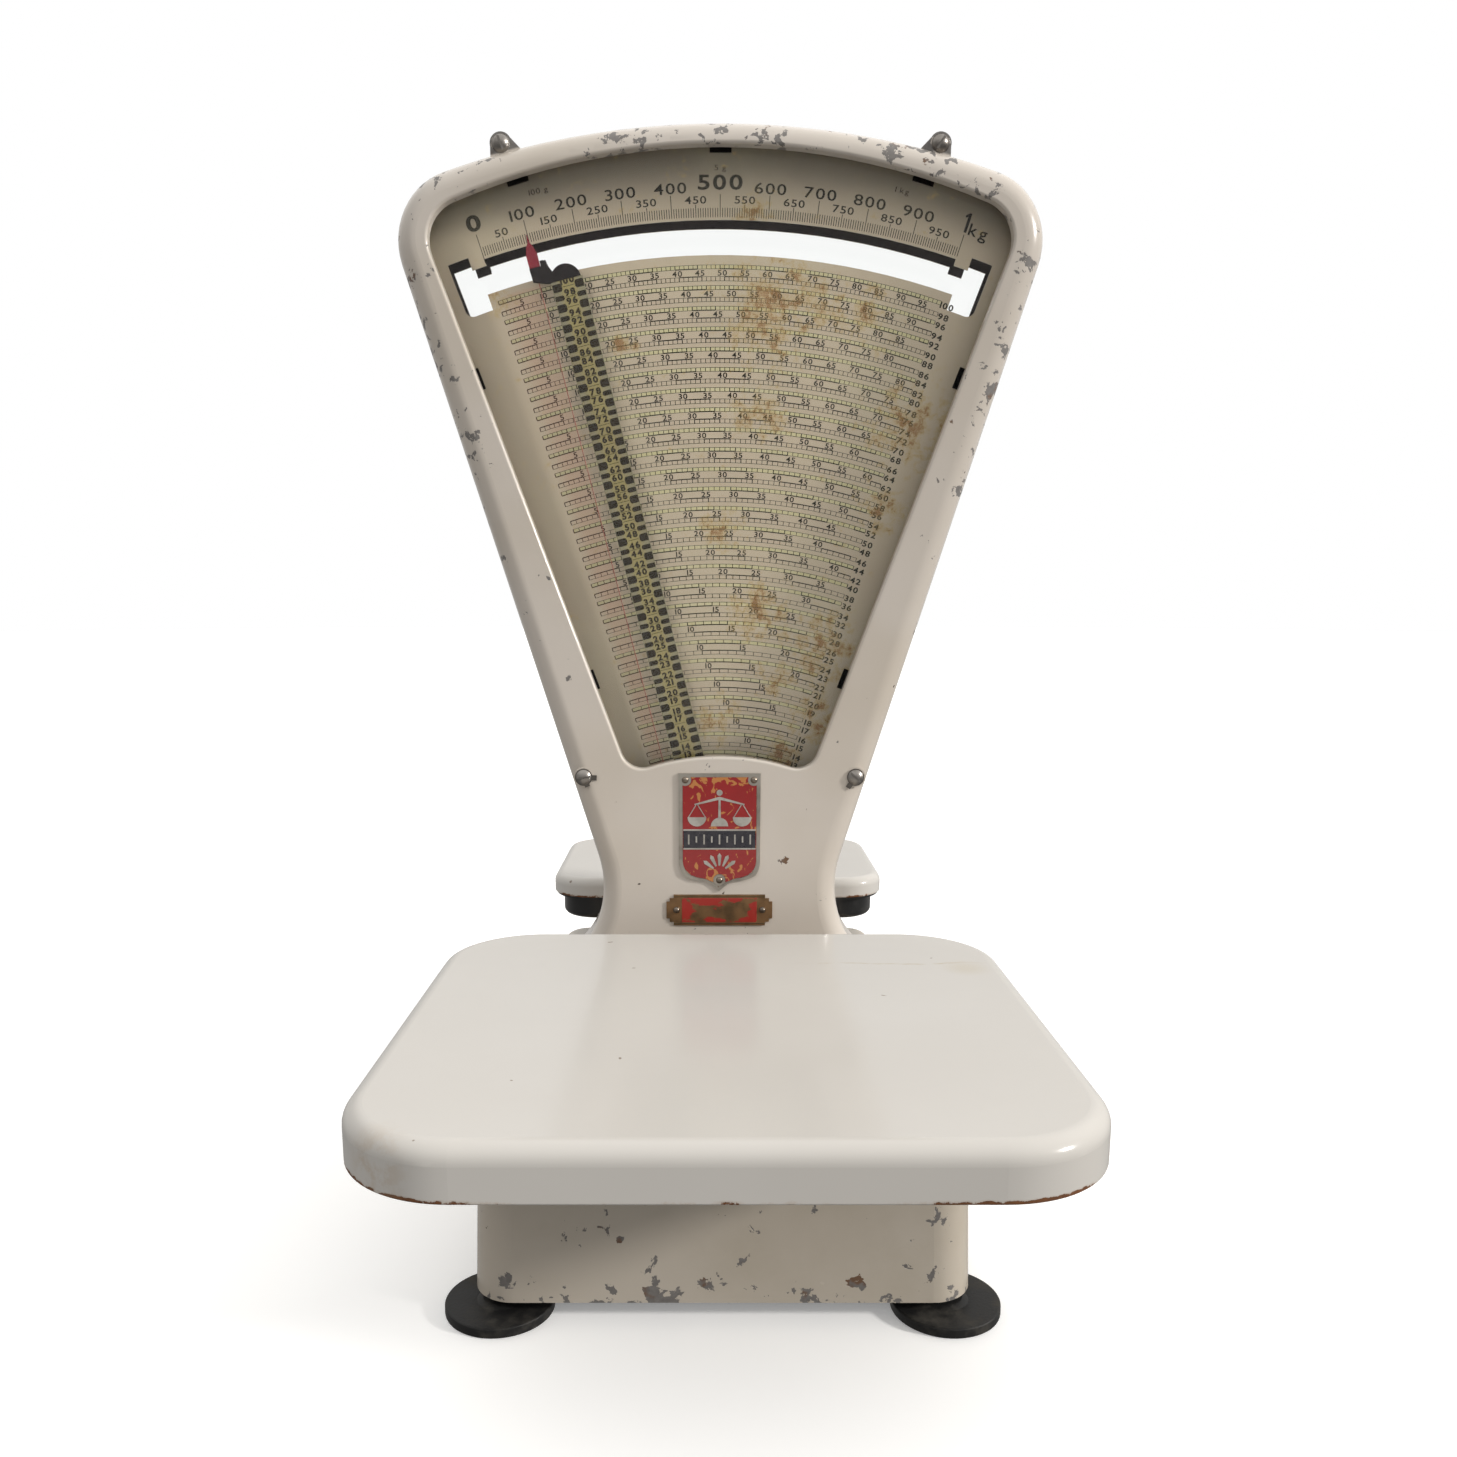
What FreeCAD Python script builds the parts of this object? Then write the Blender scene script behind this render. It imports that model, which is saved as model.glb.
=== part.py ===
"""Counter scale with a fan-shaped dial: a two-pan beam scale whose pendulum swings a pointer.

Row frame: +X to the customer's right, +Y away from the customer, +Z up, in millimetres.
The origin lies on the counter, under the middle of the scale.
"""

import FreeCAD
import Part

import math
import os

V = FreeCAD.Vector
UP = V(0, 0, 1)
ALONG = V(0, 1, 0)
ACROSS = V(1, 0, 0)

# ---- weighing range and where the scale stands at rest ----
FULL_LOAD_SWING = 35.2      # pointer travel from no load to the full load, degrees
FULL_LOAD_ROCK = 5.98       # beam travel from no load to the full load, degrees
REST_SHARE = 0.1            # the scale is at rest a tenth of the way up its range

# ---- beam ----
FULCRUM_Y = 33.5
FULCRUM_Z = 54.0            # line of the knife edges with the beam level
ARM = 172.5                 # fulcrum to either pan's knife edges
RAIL_IN = 46.0
RAIL_OUT = 54.0
RAIL_LOW = FULCRUM_Z - 10.0
RAIL_HIGH = FULCRUM_Z + 10.0
RAIL_END = ARM + 15.0
KNIFE_SIDE = 6.0
BEARING_IN = 30.5
BEARING_OUT = 41.5
EDGE_GAP = 0.45             # between a knife edge and the bottom of its vee
VEE_BODY = 4.6              # metal behind the bottom of a vee
STAY_Z = 29.0               # height of the stays' pins with the beam level

# ---- base ----
BASE_W = 236.0
BASE_LEN = 398.0
BASE_LOW = 10.0
BASE_TOP = 83.0
BASE_R = 20.0
BASE_DRAFT = 2.5            # each side leans in by this much over the base's height
BASE_EDGE_R = 10.0
BASE_WALL = 5.0
STEM_HOLE_R = 13.0
COVER_Z = 10.5
COVER_T = 1.5

# ---- feet ----
FOOT_R = 26.0
FOOT_T = 5.0
STUD_R = 5.0
FOOT_X = 106.0
FOOT_FRONT_Y = -152.8
FOOT_REAR_Y = 219.8

# ---- pans ----
GOODS_W = 300.0
GOODS_LEN = 280.8
GOODS_R = 50.0
GOODS_RIM = 22.6
WEIGHTS_W = 230.0
WEIGHTS_LEN = 147.0
WEIGHTS_R = 28.0
WEIGHTS_RIM = 13.4
PAN_TOP = 142.3
SHEET_T = 2.0

# ---- head ----
HEAD_FRONT = 32.5
SHELL_DEPTH = 30.0
HEAD_SPLIT = HEAD_FRONT + SHELL_DEPTH
FACE_T = 4.0
SIDE_T = 3.5
OUTER_EDGE_R = 12.0
INNER_EDGE_R = 8.5
HEAD_SIDE = (84.6, 214.3, 0.310)     # half width, its height, and growth per mm of height
HEAD_CORNER_R = 39.0
HEAD_ARC_Z = 102.2
HEAD_ARC_R = 486.5
NECK_R = 64.0
NECK_Z = 160.0
NECK_END = math.radians(54.0)
FOOT_CORNER_R = 14.0
WINDOW_SIDE = (61.4, 250.3, 0.3666)
WINDOW_CORNER_R = 22.0
WINDOW_ARC_Z = 175.7
WINDOW_ARC_R = 400.0
SILL_R = 138.0
SILL_CORNER_R = 13.0
LIP_DEPTH = 3.0
LIP_W = 5.0
GLASS_T = 3.0
LUG_X = 120.6
LUG_Z = 577.9
LUG_R = 5.8
LUG_SCREW_R = 5.0
LOW_SCREW_X = 80.7
LOW_SCREW_Z = 228.0
LOW_SCREW_R = 4.5

# ---- pendulum, pointer and chart ----
PIVOT_Z = 99.0
SHAFT_R = 3.0
RUNNING = 0.04              # radial clearance of a turning shaft
SEATED = 0.02               # radial clearance of a part fixed on a shaft
BOB_ARM = 49.0
BOB_R = 15.0
CRANK_R = 7.05
LINK_Y = 75.0
CHART_FRONT = 57.5
CHART_REAR = 75.5
CHART_T = 1.0
SLOT_LOW_R = 425.8
SLOT_HIGH_R = 444.6
SLOT_HALF = 17.6
POCKET_START = 18.2
POCKET_LOW_R = 417.0
POCKET_HIGH_R = 448.0
POCKET_END = 20.3
POCKET_CORNER_R = 5.0
TAB_END = 18.7
TAB_R = 440.8
CHART_LOW_Z = 222.0
POST_HEIGHTS = (300.0, 480.0)
POINTER_Y = 50.0
POINTER_T = 1.2
REAR_POINTER_Y = 80.0
LADDER_IN = 6.5
LADDER_OUT = 25.0
LADDER_LOW = 138.0
LADDER_HIGH = 420.0

# ---- dashpot ----
DASH_X = 78.0
DASH_Y = 120.0

# ---- worked out from the above ----
REST_ROCK = (REST_SHARE - 0.5) * FULL_LOAD_ROCK
REST_SWING = (REST_SHARE - 0.5) * FULL_LOAD_SWING
GOODS_RISE = -ARM * math.sin(math.radians(REST_ROCK))
ARM_REACH = ARM * math.cos(math.radians(REST_ROCK))
GOODS_Y = FULCRUM_Y - ARM_REACH
WEIGHTS_Y = FULCRUM_Y + ARM_REACH
BASE_MID_Y = FULCRUM_Y
BASE_CEILING = BASE_TOP - BASE_WALL
GOODS_PAN_Y = -279.5 + GOODS_LEN / 2
WEIGHTS_PAN_Y = 279.5 - WEIGHTS_LEN / 2
WINDOW_EDGE_T = FACE_T + LIP_DEPTH
GLASS_Y = HEAD_FRONT + WINDOW_EDGE_T
HEAD_BACK = HEAD_FRONT + 2 * SHELL_DEPTH


# ---- helpers ----
def block(x0, x1, y0, y1, z0, z1):
    """Box between two corners."""
    return Part.makeBox(x1 - x0, y1 - y0, z1 - z0, V(x0, y0, z0))


def rod(radius, length, foot, direction=UP):
    """Cylinder that starts at foot and runs along direction."""
    return Part.makeCylinder(radius, length, foot, direction)


def joined(shapes):
    """One solid from shapes that touch or overlap."""
    return shapes[0].multiFuse(shapes[1:]).removeSplitter()


def both_sides(shape):
    """The shape and its mirror image across the scale's middle plane."""
    return [shape, shape.mirror(V(0, 0, 0), ACROSS)]


def rounded_rect(width, length, radius, mid_y, z):
    """Closed wire of a rectangle with round corners, level at height z."""
    x, y, r = width / 2, length / 2, radius
    k = r * (1 - math.sqrt(0.5))
    corners = []
    for sx, sy in ((1, -1), (1, 1), (-1, 1), (-1, -1)):
        on_x_side = V(sx * x, mid_y + sy * (y - r), z)
        on_y_side = V(sx * (x - r), mid_y + sy * y, z)
        bend = V(sx * (x - k), mid_y + sy * (y - k), z)
        first, last = (on_y_side, on_x_side) if sx == sy * -1 else (on_x_side, on_y_side)
        corners.append((first, bend, last))
    edges = []
    for i, (first, bend, last) in enumerate(corners):
        edges.append(Part.Arc(first, bend, last).toShape())
        following = corners[(i + 1) % 4][0]
        edges.append(Part.LineSegment(last, following).toShape())
    return Part.Wire(edges)


def slab(width, length, radius, mid_y, z0, z1):
    """Upright prism on a rectangle with round corners."""
    face = Part.Face(rounded_rect(width, length, radius, mid_y, z0))
    return face.extrude(V(0, 0, z1 - z0))


def rounded_rim(solid, z, radius):
    """The solid with the edges that lie level at height z rounded."""
    edges = [e for e in solid.Edges if abs(e.BoundBox.ZMin - z) < 1e-4 and abs(e.BoundBox.ZMax - z) < 1e-4]
    return solid.makeFillet(radius, edges)


def half_width(side, z):
    """Half width at height z of a straight side given as (half width, its height, growth)."""
    return side[0] + side[2] * (z - side[1])


def corner_centre(side, radius, arc_z, centre_gap):
    """Centre of a round that touches a straight side from inside and stands centre_gap from (0, arc_z)."""
    slope = side[2]
    start = half_width(side, arc_z) - radius * math.hypot(1, slope)
    a, b, c = 1 + slope ** 2, 2 * slope * start, start ** 2 - centre_gap ** 2
    rise = (-b + math.sqrt(b * b - 4 * a * c)) / (2 * a)
    return start + slope * rise, arc_z + rise


def toward(centre, target, distance):
    """Point at a distance from centre on the way to target, in the X-Z plane."""
    dx, dz = target[0] - centre[0], target[1] - centre[1]
    size = math.hypot(dx, dz)
    return centre[0] + dx / size * distance, centre[1] + dz / size * distance


def arc_middle(centre, first, last):
    """Middle of the short arc from first to last about centre, in the X-Z plane."""
    radius = math.hypot(first[0] - centre[0], first[1] - centre[1])
    return toward(centre, ((first[0] + last[0]) / 2, (first[1] + last[1]) / 2), radius)


def mirrored_outline(start, steps, y):
    """Face from half an outline. A step is (end,) for a line or (middle, end) for an arc."""
    def at(point, side):
        return V(side * point[0], y, point[1])
    edges = []
    for side in (1, -1):
        here = start
        for step in steps:
            end = step[-1]
            if len(step) == 1:
                edges.append(Part.LineSegment(at(here, side), at(end, side)).toShape())
            else:
                edges.append(Part.Arc(at(here, side), at(step[0], side), at(end, side)).toShape())
            here = end
    return Part.Face(Part.Wire(Part.__sortEdges__(edges)))


def along_dial(angle, radius, aside=0.0):
    """Point (x, z) at a radius and angle from the pivot, moved aside square to that radius."""
    a = math.radians(angle)
    return (radius * math.sin(a) + aside * math.cos(a),
            PIVOT_Z + radius * math.cos(a) - aside * math.sin(a))


def with_beam(shape):
    """Shape drawn with the beam level, as it stands at rest."""
    return shape.rotated(V(0, FULCRUM_Y, FULCRUM_Z), ACROSS, REST_ROCK)


def with_stays(shape):
    """Shape drawn with the stays level, as it stands at rest."""
    return shape.rotated(V(0, FULCRUM_Y, STAY_Z), ACROSS, REST_ROCK)


def with_pointer(shape):
    """Shape drawn with the pointer upright, as it stands at rest."""
    return shape.rotated(V(0, 0, PIVOT_Z), ALONG, REST_SWING)


def hex_head(radius, height, foot, direction):
    """Hexagonal bolt head, radius across its corners."""
    turns = [math.radians(60 * i) for i in range(7)]
    ring = Part.makePolygon([V(radius * math.cos(t), radius * math.sin(t), 0) for t in turns])
    head = Part.Face(ring).extrude(V(0, 0, height))
    head.Placement = FreeCAD.Placement(foot, FreeCAD.Rotation(UP, direction))
    return head


# ---- base and feet ----
def base_shape(inset, low, high):
    """Base's outer form, or its hollow if inset from it."""
    def ring(z):
        lean = BASE_DRAFT * (z - BASE_LOW) / (BASE_TOP - BASE_LOW)
        shrink = 2 * (inset + lean)
        return rounded_rect(BASE_W - shrink, BASE_LEN - shrink, BASE_R - inset - lean / 2, BASE_MID_Y, z)
    return Part.makeLoft([ring(low), ring(high)], True, True)


def foot_places():
    return [(x, y) for y in (FOOT_FRONT_Y, FOOT_REAR_Y) for x in (-FOOT_X, FOOT_X)]


COVER_SCREWS = [(sx * 107.0, y) for sx in (-1, 1) for y in (-62.0, 129.0)]
BRIDGE_LUG_X = 104.0
HEAD_BOLTS = [(sx * 88.0, y) for sx in (-1, 1) for y in (HEAD_FRONT + 14.0, HEAD_BACK - 14.0)]


def base_casting():
    outer = rounded_rim(base_shape(0, BASE_LOW, BASE_TOP), BASE_TOP, BASE_EDGE_R)
    hollow = rounded_rim(base_shape(BASE_WALL, BASE_LOW - 1, BASE_CEILING), BASE_CEILING, 6.0)
    shell = outer.cut(hollow)
    bosses = [rod(9.0, 30.0, V(x, y, BASE_LOW)) for x, y in foot_places()]
    for y in (COVER_SCREWS[0][1], COVER_SCREWS[1][1]):
        bosses += both_sides(block(101.0, 117.0, y - 7, y + 7, COVER_Z + COVER_T, 24.0))
    bosses += both_sides(block(97.0, 117.0, BASE_MID_Y - 8, BASE_MID_Y + 8, BRIDGE_TOP, 36.0))
    casting = joined([shell] + [b.common(outer) for b in bosses])
    holes = [rod(STUD_R + 0.05, 40.0, V(x, y, BASE_LOW - 1)) for x, y in foot_places()]
    holes += [rod(2.05, 10.0, V(x, y, COVER_Z)) for x, y in COVER_SCREWS]
    holes += [rod(3.05, 10.0, V(s * BRIDGE_LUG_X, BASE_MID_Y, 22.0)) for s in (-1, 1)]
    holes += [rod(3.1, 10.0, V(x, y, BASE_CEILING - 2)) for x, y in HEAD_BOLTS]
    holes += [rod(STEM_HOLE_R, 10.0, V(0, y, BASE_CEILING - 2)) for y in (GOODS_Y, WEIGHTS_Y)]
    holes.append(block(-48.0, 22.0, 53.0, 80.5, BASE_CEILING - 1, BASE_TOP + 1))
    return casting.cut(Part.makeCompound(holes))


def bottom_cover():
    plate = slab(BASE_W - 2 * BASE_WALL - 1.4, BASE_LEN - 2 * BASE_WALL - 1.4, BASE_R - BASE_WALL,
                 BASE_MID_Y, COVER_Z, COVER_Z + COVER_T)
    holes = [rod(9.4, 4.0, V(x, y, COVER_Z - 1)) for x, y in foot_places()]
    holes += [rod(2.2, 4.0, V(x, y, COVER_Z - 1)) for x, y in COVER_SCREWS]
    cut = plate.cut(Part.makeCompound(holes))
    return max(cut.Solids, key=lambda s: s.Volume)


def cover_screw(x, y):
    shank = rod(2.0, 8.0, V(x, y, COVER_Z))
    head = rod(3.6, 1.6, V(x, y, COVER_Z - 1.6))
    slot = block(x - 4, x + 4, y - 0.4, y + 0.4, COVER_Z - 1.7, COVER_Z - 0.8)
    return shank.fuse(head).cut(slot)


def foot(x, y):
    disc = rod(FOOT_R, FOOT_T, V(x, y, 0))
    disc = disc.makeFillet(0.9, [e for e in disc.Edges if len(e.Vertexes) == 1])
    hub = Part.makeCone(11.0, 8.0, 1.2, V(x, y, FOOT_T), UP)
    stud = rod(STUD_R, 26.0, V(x, y, FOOT_T))
    return joined([disc, hub, stud])


# ---- fulcrum ----
BRIDGE_Z = 16.0
BRIDGE_TOP = 23.0


def fulcrum_bridge():
    bar = block(-110.0, 110.0, BASE_MID_Y - 6, BASE_MID_Y + 6, BRIDGE_Z, BRIDGE_TOP)
    posts = [block(BEARING_IN, BEARING_OUT, BASE_MID_Y - 5, BASE_MID_Y + 5, BRIDGE_TOP,
                   FULCRUM_Z - EDGE_GAP - VEE_BODY),
             block(9.0, 13.0, BASE_MID_Y - 4.5, BASE_MID_Y + 4.5, BRIDGE_TOP, STAY_Z + 5)]
    solids = [bar] + [s for p in posts for s in both_sides(p)]
    pin_hole = rod(3.0 + SEATED, 30.0, V(-15.0, FULCRUM_Y, STAY_Z), ACROSS)
    bolt_holes = [rod(3.1, 10.0, V(s * BRIDGE_LUG_X, BASE_MID_Y, BRIDGE_Z - 1)) for s in (-1, 1)]
    return joined(solids).cut(Part.makeCompound([pin_hole] + bolt_holes))


def bridge_bolt(side):
    foot_point = V(side * BRIDGE_LUG_X, BASE_MID_Y, BRIDGE_Z)
    return rod(3.0, 15.0, foot_point).fuse(hex_head(5.2, 3.2, foot_point - V(0, 0, 3.2), UP))


def vee_block(side, y, edge_z, opens_up):
    """Bearing block with a wide vee that faces a knife edge at edge_z."""
    way = 1 if opens_up else -1
    apex = edge_z - way * EDGE_GAP
    x0, x1 = sorted((side * BEARING_IN, side * BEARING_OUT))
    z0, z1 = sorted((apex - way * VEE_BODY, apex + way * 2.6))
    body = block(x0, x1, y - 4.5, y + 4.5, z0, z1)
    half_open = 8.0
    vee = Part.makePolygon([V(x0 - 1, y, apex), V(x0 - 1, y - half_open, apex + way * half_open * 0.577),
                            V(x0 - 1, y + half_open, apex + way * half_open * 0.577), V(x0 - 1, y, apex)])
    return body.cut(Part.Face(vee).extrude(V(x1 - x0 + 2, 0, 0)))


def knife(side, y, edge_z, points_down):
    """Square bar on its corner, through one rail of the level beam."""
    half = KNIFE_SIDE / math.sqrt(2)
    mid = edge_z + (half if points_down else -half)
    ring = Part.makePolygon([V(0, y, mid - half), V(0, y + half, mid), V(0, y, mid + half),
                             V(0, y - half, mid), V(0, y, mid - half)])
    bar = Part.Face(ring).extrude(V(28.0, 0, 0))
    bar.translate(V(side * 42.0 - 14.0, 0, 0))
    return bar


def knives():
    """The six knife edges, drawn with the beam level."""
    places = [(FULCRUM_Y, True), (FULCRUM_Y - ARM, False), (FULCRUM_Y + ARM, False)]
    return [knife(side, y, FULCRUM_Z, down) for y, down in places for side in (-1, 1)]


# ---- beam ----
CROSS_FRONT_Y = -60.0
CROSS_REAR_Y = 88.0
POISE_X = 20.0
LINK_REACH = LINK_Y - FULCRUM_Y
LINK_X = -CRANK_R + 0.17


def main_beam():
    """Two rails joined by cross bars, with ears for the link's pin."""
    rail = block(RAIL_IN, RAIL_OUT, FULCRUM_Y - RAIL_END, FULCRUM_Y + RAIL_END, RAIL_LOW, RAIL_HIGH)
    tips = [e for e in rail.Edges if abs(e.BoundBox.XLength - (RAIL_OUT - RAIL_IN)) < 1e-6]
    rail = rail.makeFillet(5.0, tips)
    bars = [block(-RAIL_IN, RAIL_IN, y - 4, y + 4, RAIL_LOW + 2, RAIL_HIGH - 4)
            for y in (CROSS_FRONT_Y, CROSS_REAR_Y)]
    ears = [block(x, x + 3.0, LINK_Y - 4, CROSS_REAR_Y - 3, FULCRUM_Z - 4, FULCRUM_Z + 4)
            for x in (LINK_X - 8.0, LINK_X + 5.0)]
    beam = joined(both_sides(rail) + bars + ears)
    holes = knives() + [rod(1.5 + SEATED, 20.0, V(LINK_X - 10, LINK_Y, FULCRUM_Z), ACROSS),
                        rod(3.0 + SEATED, 12.0, V(POISE_X, CROSS_FRONT_Y - 6, FULCRUM_Z), ALONG)]
    return with_beam(beam.cut(Part.makeCompound(holes)))


def beam_link_pin():
    return with_beam(rod(1.5, 16.0, V(LINK_X - 8.0, LINK_Y, FULCRUM_Z), ACROSS))


def poise_rod():
    return with_beam(rod(3.0, 58.0, V(POISE_X, CROSS_FRONT_Y - 5, FULCRUM_Z), ALONG))


def zero_poise_nut():
    middle = V(POISE_X, -28.0, FULCRUM_Z)
    nut = rod(9.0, 8.0, middle - V(0, 4, 0), ALONG)
    nut = nut.makeFillet(0.8, [e for e in nut.Edges if len(e.Vertexes) == 1])
    return with_beam(nut.cut(rod(3.0 + RUNNING, 12.0, middle - V(0, 6, 0), ALONG)))


def damper_arm():
    arm = block(RAIL_OUT, DASH_X - 5, DASH_Y - 3, DASH_Y + 3, FULCRUM_Z - 4, FULCRUM_Z + 4)
    pin = rod(1.5, 11.0, V(DASH_X - 5.5, DASH_Y, FULCRUM_Z), ACROSS)
    return with_beam(joined([arm, pin]))


# ---- stays ----
def stay(side, x0):
    """Flat check link from the anchor pin to a carrier: side -1 to the goods pan, 1 to the weights pan."""
    far_y = FULCRUM_Y + side * ARM
    y0, y1 = sorted((FULCRUM_Y, far_y))
    bar = block(x0, x0 + 4, y0, y1, STAY_Z - 4, STAY_Z + 4)
    eyes = [rod(5.0, 4.0, V(x0, y, STAY_Z), ACROSS) for y in (y0, y1)]
    holes = [rod(3.0 + RUNNING, 6.0, V(x0 - 1, FULCRUM_Y, STAY_Z), ACROSS),
             rod(2.45, 6.0, V(x0 - 1, far_y, STAY_Z), ACROSS)]
    return with_stays(joined([bar] + eyes).cut(Part.makeCompound(holes)))


# ---- pan carriers ----
YOKE_LOW = FULCRUM_Z + EDGE_GAP + VEE_BODY
YOKE_HIGH = YOKE_LOW + 7.0


def carrier_stem(y, rise, leg_x, pin_x, top_z, flange_r):
    """Yoke over the knife edges, a leg down to the stay's pin and a stem up through the base."""
    yoke = block(-BEARING_OUT, BEARING_OUT, y - 5, y + 5, YOKE_LOW + rise, YOKE_HIGH + rise)
    leg = block(leg_x, leg_x + 8, y - 5, y + 5, STAY_Z - 6 + rise, YOKE_LOW + rise)
    pin = rod(2.0, 7.0, V(pin_x, y, STAY_Z + rise), ACROSS)
    stem = rod(8.0, top_z - YOKE_LOW - rise, V(0, y, YOKE_LOW + rise))
    flange = rod(flange_r, 3.3, V(0, y, top_z - 3.3))
    return joined([yoke, leg, pin, stem, flange])


def goods_carrier_stem():
    return carrier_stem(GOODS_Y, GOODS_RISE, -2.0, -8.0, 118.0, 20.0)


def weights_carrier_stem():
    return carrier_stem(WEIGHTS_Y, -GOODS_RISE, -6.0, 1.5, 112.3, 24.0)


def carrier_bearings(y, rise):
    return [vee_block(side, y, FULCRUM_Z + rise, False) for side in (-1, 1)]


ARM_X = 104.0
ARM_Y = 92.0
PAN_INSIDE = PAN_TOP - SHEET_T


def goods_carrier_spider():
    """Hub plate with four arms out to the goods pan's corners."""
    low, high = 118.0, 131.0
    hub = rod(30.0, 9.0, V(0, GOODS_Y, low))
    reach = math.hypot(ARM_X, ARM_Y)
    angle = math.degrees(math.atan2(ARM_Y, ARM_X))
    arms = []
    for turn in (angle, 180 - angle, 180 + angle, -angle):
        arm = block(0, reach, -8, 8, low + 4, high - 3)
        arm = arm.fuse(rod(11.0, 9.0, V(reach, 0, high - 9)))
        arm.rotate(V(0, 0, 0), UP, turn)
        arm.translate(V(0, GOODS_Y, 0))
        arms.append(arm)
    return joined([hub] + arms)


def goods_carrier_buffers():
    return [rod(9.0, PAN_INSIDE - 131.0, V(sx * ARM_X, GOODS_Y + sy * ARM_Y, 131.0))
            for sx in (-1, 1) for sy in (-1, 1)]


def pan(width, length, radius, mid_y, rim, edge_r):
    """Pressed pan, upside down: a flat top with a turned-down rim."""
    outer = rounded_rim(slab(width, length, radius, mid_y, PAN_TOP - rim, PAN_TOP), PAN_TOP, edge_r)
    inner = slab(width - 2 * SHEET_T, length - 2 * SHEET_T, radius - SHEET_T, mid_y,
                 PAN_TOP - rim - 1, PAN_INSIDE)
    inner = rounded_rim(inner, PAN_INSIDE, edge_r - SHEET_T)
    shell = outer.cut(inner)
    return rounded_rim(shell, PAN_TOP - rim, 0.9)


def weights_carrier_tray():
    """Black tray under the weights pan, with the flange that the pan's rim stands on."""
    flange_top = PAN_TOP - WEIGHTS_RIM
    y = WEIGHTS_PAN_Y
    box = rounded_rim(slab(218.0, 135.0, 24.0, y, 112.3, flange_top - 1.5), 112.3, 4.0)
    flange = slab(227.0, 144.0, 27.0, y, flange_top - 1.5, flange_top)
    hollow = rounded_rim(slab(212.0, 129.0, 21.0, y, 115.3, flange_top + 1), 115.3, 2.0)
    return joined([box, flange]).cut(hollow)


# ---- head shells ----
def head_outline(y):
    """Face of the fan head's outline."""
    slope = math.atan(HEAD_SIDE[2])
    neck_top_z = NECK_Z + NECK_R * math.sin(slope)
    neck_top = (half_width(HEAD_SIDE, neck_top_z), neck_top_z)
    neck_c = (neck_top[0] + NECK_R * math.cos(slope), NECK_Z)
    neck_low = (neck_c[0] - NECK_R * math.cos(NECK_END), NECK_Z - NECK_R * math.sin(NECK_END))
    foot_c = toward(neck_c, neck_low, NECK_R + FOOT_CORNER_R)
    foot_side = (foot_c[0] + FOOT_CORNER_R, foot_c[1])
    top_c = corner_centre(HEAD_SIDE, HEAD_CORNER_R, HEAD_ARC_Z, HEAD_ARC_R - HEAD_CORNER_R)
    side_end = (top_c[0] + HEAD_CORNER_R * math.cos(slope), top_c[1] - HEAD_CORNER_R * math.sin(slope))
    arc_start = toward((0, HEAD_ARC_Z), top_c, HEAD_ARC_R)
    apex = (0, HEAD_ARC_Z + HEAD_ARC_R)
    steps = [((foot_side[0], BASE_TOP),), (foot_side,),
             (arc_middle(foot_c, foot_side, neck_low), neck_low),
             (arc_middle(neck_c, neck_low, neck_top), neck_top), (side_end,),
             (arc_middle(top_c, side_end, arc_start), arc_start),
             (arc_middle((0, HEAD_ARC_Z), arc_start, apex), apex)]
    return mirrored_outline((0, BASE_TOP), steps, y)


def window_outline(y):
    """Face of the window: straight sides, an arched top and a sill that curves about the pivot."""
    slope = math.atan(WINDOW_SIDE[2])
    sill_z = PIVOT_Z + 3.1
    low_c = corner_centre(WINDOW_SIDE, SILL_CORNER_R, sill_z, SILL_R + SILL_CORNER_R)
    sill_end = toward((0, sill_z), low_c, SILL_R)
    side_start = (low_c[0] + SILL_CORNER_R * math.cos(slope), low_c[1] - SILL_CORNER_R * math.sin(slope))
    top_c = corner_centre(WINDOW_SIDE, WINDOW_CORNER_R, WINDOW_ARC_Z, WINDOW_ARC_R - WINDOW_CORNER_R)
    side_end = (top_c[0] + WINDOW_CORNER_R * math.cos(slope), top_c[1] - WINDOW_CORNER_R * math.sin(slope))
    arc_start = toward((0, WINDOW_ARC_Z), top_c, WINDOW_ARC_R)
    apex = (0, WINDOW_ARC_Z + WINDOW_ARC_R)
    start = (0, sill_z + SILL_R)
    steps = [(arc_middle((0, sill_z), start, sill_end), sill_end),
             (arc_middle(low_c, sill_end, side_start), side_start), (side_end,),
             (arc_middle(top_c, side_end, arc_start), arc_start),
             (arc_middle((0, WINDOW_ARC_Z), arc_start, apex), apex)]
    return mirrored_outline(start, steps, y)


def edges_at_y(solid, y, above_z):
    return [e for e in solid.Edges if abs(e.BoundBox.YMin - y) < 1e-4 and abs(e.BoundBox.YMax - y) < 1e-4
            and e.BoundBox.ZMax > above_z]


def head_lug():
    """Ear on the top of a shell: its inner side slopes down to the arch, its outer side is upright."""
    y0 = HEAD_FRONT + 7.5
    ear = rod(LUG_R, HEAD_SPLIT - y0, V(LUG_X, y0, LUG_Z), ALONG)
    slope = LUG_R * math.cos(math.radians(45))
    corners = [(-10.8, slope - (10.8 - slope)), (-slope, slope), (LUG_R, 0.0), (LUG_R, -10.0), (0.0, -14.0)]
    ring = [V(LUG_X + dx, y0, LUG_Z + dz) for dx, dz in corners]
    root = Part.Face(Part.makePolygon(ring + ring[:1]))
    return ear.fuse(root.extrude(V(0, HEAD_SPLIT - y0, 0)))


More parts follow.
